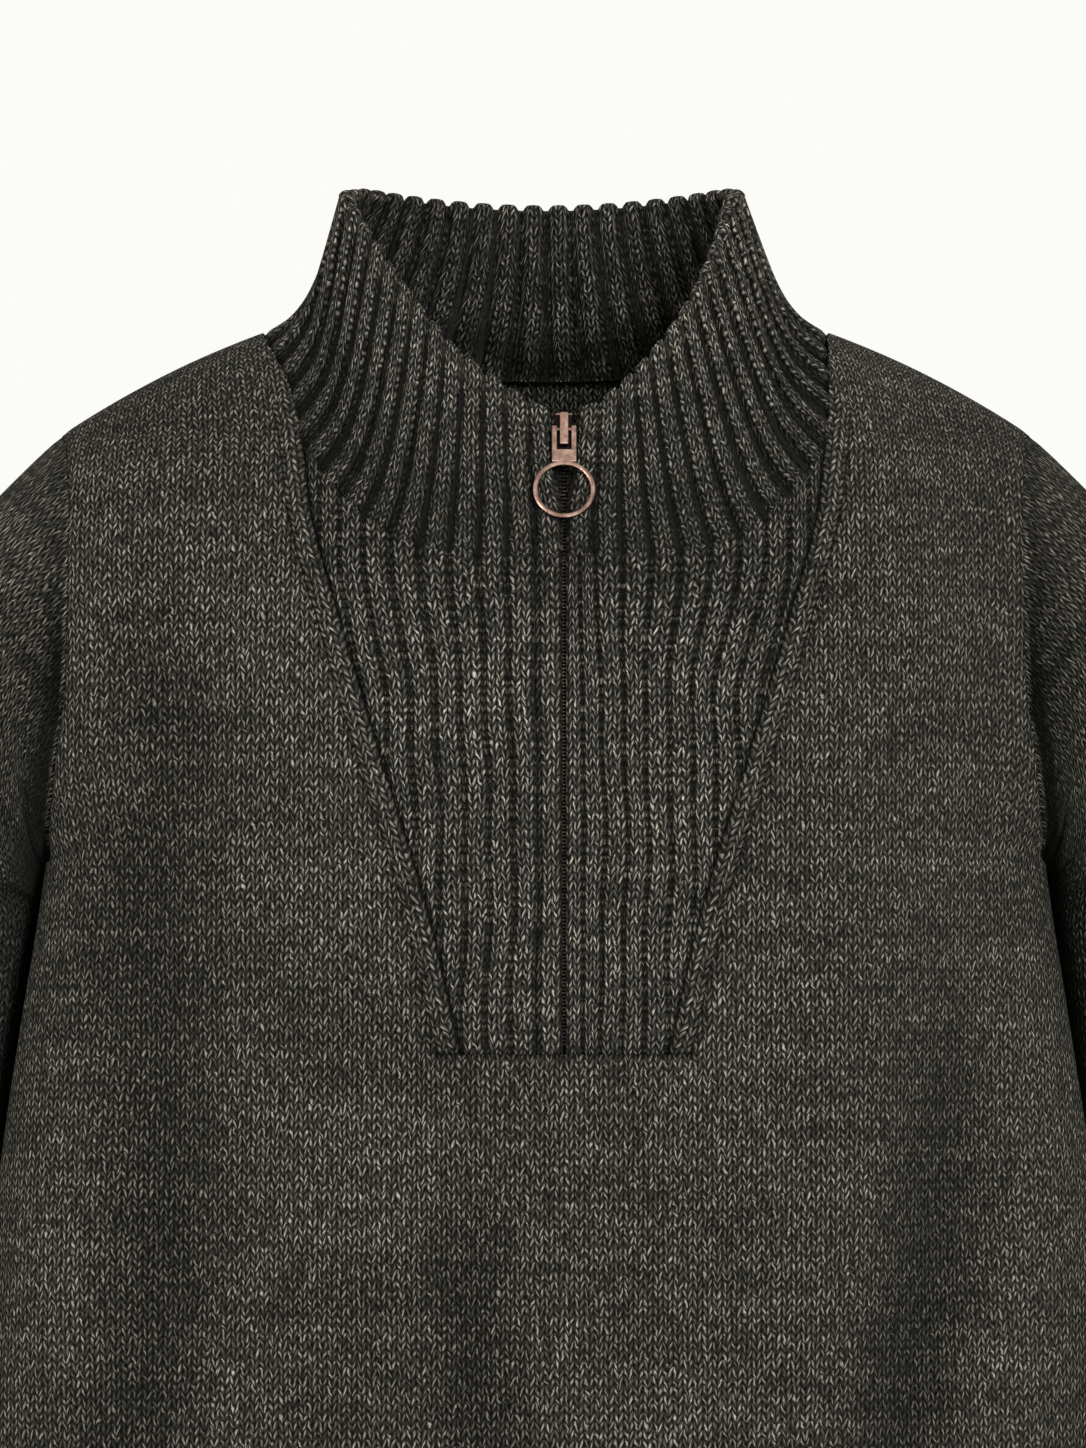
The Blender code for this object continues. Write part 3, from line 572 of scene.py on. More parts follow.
def panel(name, face, table):
    x, z, wide = panel_grid(face)
    points = torso(x, z, face)
    points[0, :, 1] = np.where(np.abs(x[0]) > NECK_HALF - 1e-6, face * SEAM / 2, points[0, :, 1])
    points[..., 0] += np.sign(x) * underarm_shift(z) * smooth(0.90, 1.0, np.abs(x) / x[:, :1])
    way = ways_out(points)
    u = np.sign(x) * mix(arc_to(0 * x, z, np.abs(x), z, face), np.abs(x), EVENED) / WALE
    v = arc_to(x, np.full(z.shape, HEM_SEAM_Z), x, z, face) / COURSE
    near = edge_distance(points, ALL_EDGES)
    if face > 0:
        near = np.where(np.abs(x) < 0.9 * NECK_HALF, edge_distance(points, ("top", "bottom")), near)
    folds = creases(x, z, table) * smooth(0.0, 0.030, near)
    dip = folds + seam_groove(near)
    # Painted shade: darker along the seams, in the folds' troughs and over the upper shoulders
    painted_shoulder_shade = smooth(-0.16, -0.05, z) * smooth(0.11, 0.16, np.abs(x))
    painted_shading = SEAM_SHADE * bump(near, 0.0016) + FOLD_SHADE * np.maximum(folds, 0) + 0.10 * painted_shoulder_shade
    keep, choice = None, None
    if face < 0:
        band_dip, band_shade, across = band_relief(x, z)
        dip, painted_shading = dip + band_dip, painted_shading + band_shade
        keep, on_band = front_faces(z, wide)
        band_uv = np.stack((2 * across + 40, lengths(points, 0) / -COURSE), -1)
        choice = (on_band, np.pad(band_uv, [(1, 1), (1, 1), (0, 0)], mode="edge"))
    points, uv, painted_shading = turned_in(points - way * dip[..., None], way, np.stack((u, v), -1), painted_shading, ALL_EDGES)
    return sheet(name, sideways(points), uv, painted_shading, keep=keep, uv_choice=choice)


def hem(name, face, ribs):
    upper, lower = np.linspace(HEM_SEAM_Z, HEM_TURN_Z, 12), np.linspace(HEM_TURN_Z, HEM_Z, 14)
    levels = np.concatenate((upper, lower[1:]))[:, None]
    angle = np.linspace(-pi / 2, pi / 2, ribs * 10 + 1)[None, :]
    points = torso(read(TORSO, levels, "half", "z") * np.sin(angle), levels, face)
    across = lengths(points, 1)
    pitch = across[:, -1:] / ribs
    off, stitches = rib_round(across / across[:, -1:] * ribs, pitch)
    relief, sides = rib_form(off, pitch)
    way = ways_out(points)
    down = edge_distance(points, ("top",))
    dip = relief * smooth(-0.004, 0.006, down) + seam_groove(down, 0.003, 0.0016)
    points = points - way * dip[..., None]
    grid = np.concatenate((points, rolled_under(points, way, HEM_ROLL, HEM_BACK_ROWS)))
    u = np.broadcast_to(stitches[-1:], grid.shape[:2])
    uv = np.stack((u, -lengths(grid, 0) / COURSE), -1)
    # Painted shade in the furrows between the ribs, on round the rolled edge
    painted_shading, way = (along_roll(a, HEM_BACK_ROWS) for a in (EDGE_SHADE * sides, way))
    points, uv, painted_shading = turned_in(grid, way, uv, painted_shading, ("top", "start", "end"))
    return sheet(name, sideways(points), uv, painted_shading)


# The insert


def rib_places(offset, furrows):
    """The distance from the rib's middle, its pitch, and the ribs before it, at offsets from the zip."""
    edges = np.array((-0.0008,) + furrows + (furrows[-1] + LAST_PITCH, furrows[-1] + 2 * LAST_PITCH))
    i = np.clip(np.searchsorted(edges, offset, side="right") - 1, 0, len(edges) - 2)
    pitch = edges[i + 1] - edges[i]
    return offset - (edges[i] + pitch / 2), pitch, i


def bib_ribs(x, z, side, furrows):
    """The ribs run on from the collar's, and lean over to their own places below."""
    spare = len(furrows) - len(COLLAR_FEET)
    feet = (0.0,) + (0.5 * COLLAR_FEET[0],) * spare + COLLAR_FEET + (NECK_HALF,)
    from_collar = np.interp(x, feet, (0.0,) + furrows + (furrows[-1] + LAST_PITCH,))
    lean = 0.0010 * np.sin(z * 41 + 1.3 * side) + 0.0006 * np.sin(z * 97 + x * 60)
    place = mix(from_collar, x + lean * smooth(0.004, 0.02, x), smooth(-0.100, -0.175, z))
    return rib_places(place, furrows)


def bib(name, side, furrows):
    share = np.concatenate((np.linspace(0, 0.06, 9, endpoint=False), np.linspace(0.06, 1, 118)))[None, :]
    top = mix(NECK_FRONT_Z, BIB_CORNER_Z, share**NECK_FRONT_POWER)
    z = mix(top, BIB_BOTTOM_Z, np.linspace(0, 1, 112)[:, None])
    x = mix(SLIT_HALF, insert_half(z), share)
    points = torso(x, z, -1)
    way = ways_out(points)
    off, pitch, count = bib_ribs(x, z, side, furrows)
    relief, sides = rib_form(off, pitch)
    to_band = (insert_half(z) - x) / SLANT
    on_bib = smooth(-0.001, 0.004, to_band)
    near_top, near_bottom = (edge_distance(points, (edge,)) for edge in ("top", "bottom"))
    dip = relief * on_bib + 0.0030 * bump(to_band, 0.0018) + 0.0026 * bump(x, 0.0017)
    dip = dip + 0.0024 * bump(near_bottom, 0.0018) + 0.0004 * bump(near_top, 0.0016)
    points = points - way * dip[..., None]
    # Painted shade: in the furrows, at the top under the collar, and along the band, the zip slit and the top
    # seam
    painted_shading = darker(sides * on_bib * FURROW_SHADE, 0.32 * smooth(-0.155, -0.100, z))
    painted_shading = painted_shading + 0.8 * bump(to_band, 0.0015) + bump(x, 0.0015) + 0.10 * bump(near_top, 0.0013)
    points[..., 0] *= side
    way[..., 0] *= side
    u = count * 2 + 1 + rib_wales(off, pitch)
    uv = np.stack((side * u, (z - BIB_BOTTOM_Z) / COURSE), -1)
    points, uv, painted_shading = turned_in(points, way, uv, painted_shading, ALL_EDGES)
    return sheet(name, sideways(points), uv, painted_shading.clip(0, 1))


# Sleeves and cuffs


def sleeve_points(table, place, angle, side):
    """Points of a sleeve or cuff. Angle 0 is the side away from the body, and pi / 2 the front."""
    near = [read(table, place, "near_x"), read(table, place, "near_z")]
    far = [read(table, place, "far_x"), read(table, place, "far_z")]
    swing = (1 + np.cos(angle)) / 2
    x, z = mix(near[0], far[0], swing), mix(near[1], far[1], swing)
    if table is SLEEVE:
        x = x + np.maximum(1 - place, 0) * (SEAM / 2 - ARMHOLE_DIP * np.abs(np.sin(angle)))
    y = read(table, place, "back") - read(table, place, "half_depth") * np.sin(angle)
    return np.stack(np.broadcast_arrays(side * x, y, z), -1)


def tube_frame(table, rows, columns, side):
    place = np.linspace(0, len(table) - 1, rows)[:, None]
    angle = 2 * pi * (np.arange(columns) / columns)[None, :] - pi
    points = sleeve_points(table, place, angle, side)
    return place, angle, points, ways_out(points, True, points.mean(1, keepdims=True))


def ring_lengths(points):
    return lengths(np.concatenate((points, points[:, :1]), 1), 1)


def wrinkles(place, angle):
    """Depth of a sleeve's creases. Each has a low ridge on both sides."""
    total = np.zeros(np.broadcast(place, angle).shape)
    for w in WRINKLES:
        turn = (angle - w.angle + pi) % (2 * pi) - pi
        off = (place - w.place - w.slant * turn * 0.6) / (w.width * 1.6)
        total += w.depth * bump(turn, 0.62 * w.length) * (bump(off, 1) - 0.35 * bump(np.abs(off) - 1.8, 1))
    return total


def beyond_body(x, z):
    """How far a point of a sleeve is out past the body's side, as seen from the front."""
    above = np.clip(z - UNDERARM_Z, 0, 0.065)
    beside_armhole = UNDERARM_X - 0.0012 - 0.115 * above
    return x - np.where(z > UNDERARM_Z, beside_armhole, read(TORSO, z, "half", "z"))


def pleat_at(x, z):
    """The pleat that runs in from the sleeve's front to the armhole: 1 along its line."""
    off = 0.857 * (x - 0.2444) - 0.516 * (z + 0.122)
    return bump(off, 0.0036) * smooth(-0.092, -0.120, z) * smooth(-0.190, -0.168, z)


def sleeve_uv(around, down, angle, way, side):
    """Stitches round and up a sleeve, evened out a little where it turns away from the front view."""
    turned = np.where(angle > 1.3, mix(1.0, np.abs(way[..., 1]), 0.62), 1.0)
    around = np.cumsum(np.pad(np.diff(around, axis=1) * turned, [(0, 0), (1, 0)]), 1)
    stitches = (around - around[:, [around.shape[1] // 2]]) / (SLEEVE_GAUGE * WALE)
    up = down[-1:] - down
    climb = mix(up, up.mean(1, keepdims=True), 0.5) / (SLEEVE_GAUGE * COURSE)
    return np.stack((stitches * side, np.hstack((climb, climb[:, :1]))), -1)


def sleeve_shadow(z, beside, side):
    """Painted shadow beside the body, where the sleeve hangs behind it; the left sleeve is further from the
    light.
    """
    gap = np.maximum(beside, 0)
    near_width, near_shade = (0.011, 0.56) if side < 0 else (0.009, 0.40)
    near = near_shade * smooth(-0.10, -0.19, z) * bump(gap, near_width)
    hanging = smooth(HEM_SEAM_Z, -0.480, z) * smooth(0.0, -0.160, z)
    at_seam = 0.36 * smooth(0.0, -0.070, z) * bump(gap, 0.0065)
    return hanging * (0.36 * bump(gap, 0.034) + near) + at_seam


def sleeve(name, side):
    place, angle, points, way = tube_frame(SLEEVE, 190, 116, side)
    down = lengths(points, 0)
    uv = sleeve_uv(ring_lengths(points), down, angle, way, side)
    ends = np.minimum(down, down[-1:] - down)
    x, z = np.abs(points[..., 0]), points[..., 2]
    beside = beyond_body(x, z)
    folds = wrinkles(place, angle) * smooth(0.0, 0.022, ends) * (1 - bump(np.maximum(beside, 0), 0.010))
    pleat = pleat_at(x, z) * (angle > 0)
    underarm = bump(down, 0.012) * bump(pi - np.abs(angle), 0.30)
    gather = smooth(0.0, -0.160, z) * bump(down, 0.010) * (1 - underarm)
    dip = folds + seam_groove(ends) + 0.0020 * gather - 0.0032 * underarm + 0.0018 * pleat
    points = points - way * dip[..., None]
    points[..., 0] += side * underarm_shift(z) * bump(down, 0.014)
    # Painted light: a narrow strip at the armhole faces the light, in front of the body's painted shadow, and
    # is drawn lighter
    painted_light = smooth(-0.0006, -0.0026, beside) * smooth(UNDERARM_Z - 0.02, UNDERARM_Z + 0.01, z)
    # Painted shade: along the seams, in the creases' troughs, along the pleat and beside the body
    painted_shading = SEAM_SHADE * bump(ends, 0.0016) + FOLD_SHADE * np.maximum(folds, 0) + 0.50 * pleat
    painted_shading = darker(painted_shading, sleeve_shadow(z, beside, side).clip(0, 0.97) * (1 - painted_light)).clip(0, 1) - 0.25 * painted_light
    points, uv, _ = turned_in(points, way, uv, painted_shading, ("top", "bottom"))
    painted_shading = np.pad(painted_shading, [(1, 1), (0, 0)], mode="edge")
    # At the armhole the lip runs in under the body's edge, so that nothing shows through between them. It is
    # painted fully dark, as shade
    seam = sleeve_points(SLEEVE, place[:1], angle, side)[0]
    seam[:, 0] += side * (underarm_shift(seam[:, 2]) - TUCK)
    points[0] = mix(seam, seam.mean(0), (0.0, 0.05, 0.05))
    painted_shading[0] = 1.0
    return sheet(name, points, uv, painted_shading, ring=True)


def cuff(name, side, ribs=22):
    _, _, points, way = tube_frame(CUFF, 34, ribs * 9, side)
    around, down = ring_lengths(points), lengths(points, 0)
    pitch = around[:, -1:] / ribs
    off, stitches = rib_round(np.linspace(0, ribs, ribs * 9 + 1)[None, :], pitch)
    relief, sides = rib_form(off, pitch)
    dip = relief[:, :-1] * smooth(-0.003, 0.005, down[:, :1]) + seam_groove(down, 0.003, 0.0016)
    points = points - way * dip[..., None]
    roll = rolled_under(points, way, CUFF_ROLL, CUFF_BACK_ROWS)
    grid = np.concatenate((points[:1] - way[:1] * LIP, points, roll))
    v = -lengths(grid, 0) / COURSE
    uv = np.stack(np.broadcast_arrays(stitches[-1:], np.hstack((v, v[:, :1]))), -1)
    # Painted shade in the furrows between the ribs, on round the rolled edge
    painted_shading = np.concatenate((sides[:1], along_roll(sides, CUFF_BACK_ROWS)))[:, :-1]
    return sheet(name, grid, uv, EDGE_SHADE * painted_shading, ring=True)


# Collar


def neck_line():
    """The right half of the neck seam, from the zip to the middle of the back."""
    share = np.linspace(0, 1, 90)
    z = mix(NECK_FRONT_Z, BIB_CORNER_Z, share**NECK_FRONT_POWER)
    front = torso(mix(SLIT_HALF, insert_half(z), share), z, -1)
    z = BIB_CORNER_Z * (1 - np.linspace(0, 1, 40)[1:]) ** CORNER_POWER
    beside = torso(insert_half(z), z, -1)
    x = NECK_HALF * np.cos(pi / 2 * np.linspace(0, 1, 90)[1:])
    back = torso(x, -BACK_NECK_DROP * (1 - (x / NECK_HALF) ** 2), 1)
    beside[-1, 1] = back[0, 1] = 0.0
    return np.concatenate((front, beside, back[1:]))


def run_lengths(line):
    return np.concatenate(((0.0,), np.cumsum(np.linalg.norm(np.diff(line, axis=0), axis=1))))


def along(line, place):
    run = run_lengths(line)
    return np.stack([np.interp(place, run, line[:, k]) for k in range(3)], -1)


def collar_edge():
    """The right half of the collar's top edge, from the zip to the middle of the back."""
    angle = np.linspace(0, pi, 400)
    middle = (COLLAR_TOP_FRONT_Y + COLLAR_TOP_BACK_Y) / 2
    reach = (COLLAR_TOP_BACK_Y - COLLAR_TOP_FRONT_Y) / 2
    low = np.where(angle < pi / 2, COLLAR_FRONT_Z, COLLAR_BACK_Z)
    aside = np.sin(angle).clip(0)
    z = mix(low, COLLAR_SIDE_Z, aside**COLLAR_RISE_POWER) - COLLAR_CORNER * aside**COLLAR_CORNER_POWER
    return np.stack((COLLAR_TOP_HALF * np.sin(angle), middle - reach * np.cos(angle), z), -1)


def collar_surface(foot, head, share, rise):
    """The collar's outer face on the right, between its foot and its head, at a rise from 0 to 1. share is
    how far round it is: 0 at the zip, 1 at the back."""
    fall = 1 - rise
    side = mix(fall, fall**SIDE_SWEEP_POWER, SIDE_SWEEP)
    lean = mix(fall**FLARE_FRONT, side, smooth(0.0, 0.45, share))
    lean = mix(lean, fall**FLARE_BACK, smooth(0.6, 1.0, share))
    point = mix(head, foot, lean[..., None])
    point[..., 2] = mix(foot[..., 2], head[..., 2], rise)
    opening = 0.75 * smooth(0.28, 0.62, rise) + 0.25 * smooth(0.75, 1.0, rise)
    point[..., 0] += (SLIT_MOUTH_HALF - SLIT_HALF) * opening * np.maximum(1 - share / SLIT_ROLL, 0) ** 2
    return point


def collar_columns():
    """The columns of the collar's right half: their places along its top edge, the points at its foot and
    head, how far round they are, the place within a rib (-0.5 to 0.5), its width and the ribs before."""
    line, edge = neck_line(), collar_edge()
    foot_run, head_run = run_lengths(line)[-1], run_lengths(edge)[-1]
    shares = np.linspace(0, 1, 400)
    heads = mix(SLIT_HALF / head_run, 1, shares * (1 + FAN * (1 - shares) ** 2))
    rib = (head_run - COLLAR_FIRST_RIB) / COLLAR_RIBS
    first = np.linspace(0, COLLAR_FIRST_RIB, 15, endpoint=False)
    place = np.concatenate((first, np.linspace(COLLAR_FIRST_RIB, head_run, COLLAR_RIBS * 11 + 1)))
    share = np.interp(place / head_run, heads, shares)
    in_first, ribs = place < COLLAR_FIRST_RIB, (place - COLLAR_FIRST_RIB) / rib
    start = np.where(in_first, 0.0, COLLAR_FIRST_RIB + rib * np.floor(ribs))
    wide = np.where(in_first, COLLAR_FIRST_RIB, rib)
    within = np.clip((place - start) / wide, 0, 1) - 0.5
    count = np.where(in_first, 0, 1 + np.floor(ribs + 1e-6))
    return place, along(line, share * foot_run), along(edge, place), share, within, wide, count


def over_edge(outer, inner, cut):
    """Rows of a grid up the outside as far as cut, over the rolled edge and down the inside."""
    return np.concatenate((outer[: cut + 1], np.repeat(outer[cut : cut + 1], len(BENDS), 0), inner[cut::-1]))


def collar_wall(base, way, dip, relief, cut):
    """Points up the collar's outside, over its rolled edge and down its inside."""
    up = unit(np.gradient(base, axis=0))[cut]
    radius = COLLAR_WALL / 2
    centre = base[cut] - way[cut] * radius
    reach = (radius * 1.12 - relief[cut])[:, None]
    rolled = [centre + reach * (way[cut] * np.cos(a) + up * np.sin(a)) for a in BENDS]
    inner = base[cut::-1] - way[cut::-1] * (COLLAR_WALL - relief[cut::-1] * 0.9)[..., None]
    return np.concatenate(((base - way * dip[..., None])[: cut + 1], np.array(rolled), inner))


def collar_shade(height, sides, share, inner_x, cut):
    """How dark the collar is painted. The front roll is painted lighter, as if it caught the light. Little
    light comes
    in, so the inside is painted dark: darkest beside the front edge and down at the back, where a ledge is
    painted at the seam."""
    outside, inside = height[: cut + 1], height[cut::-1]
    front = smooth(0.62, 0.40, share)
    near_top = smooth(0.013, 0.0, height[cut] - height)
    furrow = over_edge(sides * (1 - 0.55 * front * near_top), sides, cut)
    furrow[cut + 1 :] *= 0.75
    above = inside - smooth(0.70, 0.85, share) * (0.0035 + 0.012 * smooth(0.003, 0.036, inner_x))
    within = 0.24 + 0.46 * bump(share - 0.50, 0.18) + 0.10 * smooth(0.045, 0.0, inside)
    within = within + np.where(above > 0, 0.50 * bump(above, 0.011), 0.10)
    within = within + 0.5 * bump(above, 0.0014) * (above < 0)
    over = np.linspace(-0.34, 0.16, len(BENDS))[:, None] * np.ones(share.shape)
    ahead = 0.10 + 0.26 * front * smooth(0.052, 0.030, outside) - (0.28 + 0.22 * front) * near_top[: cut + 1]
    shade = np.concatenate((ahead, over, within.clip(0, 0.97)))
    painted_shading = darker(COLLAR_FURROW_SHADE * furrow, shade)
    painted_shading[: cut + 1] = np.maximum(painted_shading[: cut + 1], SEAM_SHADE * bump(outside, 0.0016))
    return painted_shading


def mirrored(values):
    """A grid of the collar's right half, with the left half beyond its last column."""
    return np.concatenate((values, values[:, -2::-1]), 1)


def collar(name):
    place, foot, head, share, within, wide, count = collar_columns()
    rows = 46
    base = collar_surface(foot, head, share, np.linspace(0, 1, rows)[:, None] * np.ones(len(place)))
    way = ways_out(base)
    way[:, -1, 0] = 0.0
    way, height = unit(way), lengths(base, 0)
    pitch = wide * np.gradient(lengths(base, 1), axis=1) / np.gradient(place)
    off = within * pitch
    relief, sides = rib_form(off, pitch)
    seam = 0.0004 * bump(height, 0.0022) + 0.0010 * bump(height, 0.0020) * smooth(0.27, 0.36, share)
    dip = relief * smooth(-0.012, 0.004, height) + seam + 0.0028 * bump(place, 0.0019)
    below_top = height[-1:] - height - 1.05 * COLLAR_WALL / 2
    cut = int(np.median(np.argmin(np.abs(below_top), axis=0)))
    grid = collar_wall(base, way, dip, relief, cut)
    painted_shading = collar_shade(height, sides, share, grid[cut + 1 + len(BENDS) :, :, 0], cut)
    # Painted shade along the zip slit
    painted_shading = np.maximum(painted_shading, bump(place, 0.0013)).clip(-0.42, 1)
    # The rolled edge dips beside the zip
    sag = smooth(0.030, 0.0, height[cut] - height) * bump(place, 0.017)
    grid[..., 2] -= COLLAR_SAG * over_edge(sag, sag, cut)
    # The front edges lean a little to the left of the zip, most at the top
    lean = (height / height[cut]).clip(0, 1) * smooth(0.02, 0.15, share) * smooth(0.60, 0.42, share)
    lean = COLLAR_LEAN * over_edge(lean, lean, cut)
    # Painted shade: the side towards the key light has the darker inside
    painted_inside_shade = np.zeros(painted_shading.shape)
    painted_inside_shade[cut + 1 + len(BENDS) :] = 0.46 * bump(share - 0.60, 0.20)
    u, v = count * 2 + 1 + rib_wales(off, pitch), lengths(grid, 0) / COURSE
    flat = (over_edge(u, u, cut), v, painted_shading, lean, painted_inside_shade)
    u, v, painted_shading, lean, painted_inside_shade = (np.pad(a, [(1, 0), (1, 0)], mode="edge") for a in flat)
    grid, way = (np.pad(a, [(1, 0), (1, 0), (0, 0)], mode="edge") for a in (grid, way))
    grid[: cut + 2, 0] -= way[: cut + 2, 0] * COLLAR_WALL * 0.75
    grid[0] -= way[0] * LIP
    grid[:, -1, 0] = 0.0
    # The column turned in at the zip is painted fully dark, as shade
    painted_shading[:, 0] = 1.0
    half = grid.shape[1]
    grid = mirrored(grid)
    grid[:, half:, 0] *= -1
    grid[..., 0] -= mirrored(lean)
    u = np.concatenate((u, 2 * u[:, -1:] - u[:, -2::-1]), 1)
    painted_shading = np.concatenate((darker(painted_shading, painted_inside_shade), painted_shading[:, -2::-1]), 1)
    return sheet(name, sideways(grid), np.stack((u, mirrored(v)), -1), painted_shading)


# Zip


def zip_line(z):
    """The cloth's surface along the zip at heights z, and the way out of it, on the insert or the collar."""
    z = np.atleast_1d(z)
    foot, head = neck_line()[:1], collar_edge()[:1]
    rise = ((z - NECK_FRONT_Z) / (COLLAR_FRONT_Z - NECK_FRONT_Z))[:, None]
    point = collar_surface(foot, head, np.zeros(1), np.maximum(rise, 0.0))[:, 0]
    point = np.where(rise > 0, point, torso(0 * z, z, -1))
    point[:, 0] = 0.0
    way = np.stack((0 * z, -np.gradient(point[:, 2]), np.gradient(point[:, 1])), -1)
    return point, unit(way * -np.sign(way[:, 1:2]))


def zip_tape(name):
    """Both tapes, closed edge to edge behind the slit."""
    point, way = zip_line(np.linspace(TAPE_TOP_Z, TAPE_BOTTOM_Z, 150))
    across = np.linspace(-TAPE_HALF, TAPE_HALF, 25)
    ripple = 0.00025 * np.sin(np.arange(150) * 0.9)[:, None] * smooth(0.004, 0.010, np.abs(across))
    depth_in = TAPE_DEPTH + ripple + 0.0006 * bump(across, 0.0006)
    grid = point[:, None] - way[:, None] * depth_in[..., None]
    grid[..., 0] += across
    grid = sideways(grid)
    uv = np.stack((np.broadcast_to(across, grid.shape[:2]), lengths(grid, 0)), -1) / TAPE_THREAD
    return sheet(name, grid, uv, np.zeros(grid.shape[:2]))


def zip_teeth(name):
    """The closed chain: teeth from the left and the right in turn, one mesh."""
    levels = np.arange(ZIP_TOP_TOOTH_Z, ZIP_LOW_TOOTH_Z, -TOOTH_PITCH / 2)
    point, way = zip_line(levels)
    point = sideways(point - way * TAPE_DEPTH)
    along_zip = np.cross(way, (1.0, 0.0, 0.0))
    box = np.array([(x, y, z) for z in (0, 1) for y in (-1, 1) for x in (-1, 1)], float)
    sides = np.array([(0, 2, 3, 1), (4, 5, 7, 6), (0, 1, 5, 4), (2, 6, 7, 3), (0, 4, 6, 2), (1, 3, 7, 5)])
    narrow = np.where(box[:, 2] > 0, TOOTH_TIP, 1.0)
    verts, faces = [], []
    for i in range(len(levels)):
        shift = TOOTH_SHIFT if i % 2 else -TOOTH_SHIFT
        place = point[i] + np.outer(box[:, 0] * TOOTH.half_width * narrow + shift, (1.0, 0.0, 0.0))
        place = place + np.outer(box[:, 1] * TOOTH.half_height * narrow, along_zip[i])
        verts.append(place + np.outer(box[:, 2] * TOOTH.depth, way[i]))
        faces.append(sides + len(box) * i)
    piece = add_mesh(name, np.concatenate(verts), np.concatenate(faces))
    piece.data.shade_flat()
    return piece


# Materials


class Shader:
    """Short names for building a material's nodes."""

    def __init__(self, name):
        self.material = bpy.data.materials.new(name)
        self.material.use_nodes = True
        self.tree = self.material.node_tree

    def put(self, socket, value):
        if isinstance(value, bpy.types.NodeSocket):
            self.tree.links.new(value, socket)
        else:
            socket.default_value = value

    def node(self, kind, inputs=(), **settings):
        node = self.tree.nodes.new(kind)
        for key, value in settings.items():
            setattr(node, key, value)
        for key, value in dict(inputs).items():
            self.put(node.inputs[key], value)
        return node

    def math(self, operation, *values):
        return self.node("ShaderNodeMath", dict(enumerate(values)), operation=operation).outputs[0]

    def add(self, a, b):
        return self.math("ADD", a, b)

    def sub(self, a, b):
        return self.math("SUBTRACT", a, b)

    def mul(self, a, b):
        return self.math("MULTIPLY", a, b)

    def ramp(self, value, low, high, out_low=0.0, out_high=1.0):
        inputs = {"Value": value, "From Min": low, "From Max": high, "To Min": out_low, "To Max": out_high}
        return self.node("ShaderNodeMapRange", inputs, interpolation_type="SMOOTHSTEP").outputs["Result"]

    def vector(self, x, y, z=0.0):
        return self.node("ShaderNodeCombineXYZ", {"X": x, "Y": y, "Z": z}).outputs[0]

    def chance(self, vector):
        """Three random numbers from 0 to 1, the same wherever the vector is the same."""
        noise = self.node("ShaderNodeTexWhiteNoise", {"Vector": vector}, noise_dimensions="3D")
        parts = self.node("ShaderNodeSeparateColor", {"Color": noise.outputs["Color"]})
        return [parts.outputs[i] for i in range(3)]

    def noise(self, vector, scale, detail=2.0, roughness=0.5):
        inputs = {"Vector": vector, "Scale": scale, "Detail": detail, "Roughness": roughness}
        return self.node("ShaderNodeTexNoise", inputs).outputs["Fac"]

    def uneven(self, vector, scale):
        """Slow noise about 0."""
        return self.sub(self.noise(vector, scale, 1.0), 0.5)

    def blend(self, share, a, b, way="MIX"):
        return self.node("ShaderNodeMix", {0: share, 6: a, 7: b}, data_type="RGBA", blend_type=way).outputs[2]

    def relief(self, height, strength, distance):
        inputs = {"Height": height, "Strength": strength, "Distance": distance}
        return self.node("ShaderNodeBump", inputs).outputs[0]

    def finished(self, inputs):
        """The material, with these inputs for its main shader."""
        for key, value in inputs.items():
            self.put(self.tree.nodes["Principled BSDF"].inputs[key], value)
        return self.material


Leg = namedtuple("Leg", "u climb row number out off")


def stitch_leg(s, parts):
    """The leg of a stitch at a place: a stitch is a V of two legs, a little uneven. u and climb run across
    and along it, row and number say which it is, out is 0 at the V's point and 1 at its ends, and off is
    the place across the leg, 0 at its middle."""
    wobble_u = s.uneven(s.vector(parts[0], parts[1]), 0.55)
    wobble_v = s.uneven(s.vector(parts[1], parts[0], 7.0), 0.7)
    crimp = s.uneven(s.vector(parts[0], parts[1], 3.0), 1.5)
    u = s.add(parts[0], s.add(s.mul(wobble_u, 0.42), s.mul(crimp, 0.30)))
    v = s.add(parts[1], s.add(s.mul(wobble_v, 0.75), s.mul(crimp, 0.55)))
    across = s.sub(s.math("FRACT", u), 0.5)
    out = s.mul(s.math("ABSOLUTE", across), 2.0)
    bow = s.add(s.mul(out, 0.62), s.mul(s.math("SMOOTH_MIN", out, 0.75, 0.3), 0.42))
    climb = s.sub(v, bow)
    number = s.add(s.mul(s.math("FLOOR", u), 2.0), s.math("GREATER_THAN", across, 0.0))
    return Leg(u, climb, s.math("FLOOR", climb), number, out, s.sub(s.math("FRACT", climb), 0.5))


def tuft(s, leg, seed, spread):
    """A tuft of light hair on a leg: where it lies, how long and how strong it is vary at random."""
    pick, shift, turn = s.chance(s.vector(leg.number, leg.row, seed))
    more, long, _ = s.chance(s.vector(leg.number, leg.row, seed + 2.0))
    slant = s.mul(s.mul(s.sub(leg.out, 0.5), s.sub(turn, 0.45)), 1.1)
    centre = s.add(s.mul(s.sub(shift, 0.5), spread), slant)
    line = s.ramp(s.math("ABSOLUTE", s.sub(leg.off, centre)), 0.27, 0.05)
    middle = s.add(0.22, s.mul(more, 0.56))
    ends = s.ramp(s.math("ABSOLUTE", s.sub(leg.out, middle)), s.add(0.26, s.mul(long, 0.22)), 0.07)
    strength = s.add(s.mul(s.math("POWER", pick, 1.6), 1.05), 0.08)
    return s.mul(s.mul(line, ends), strength)


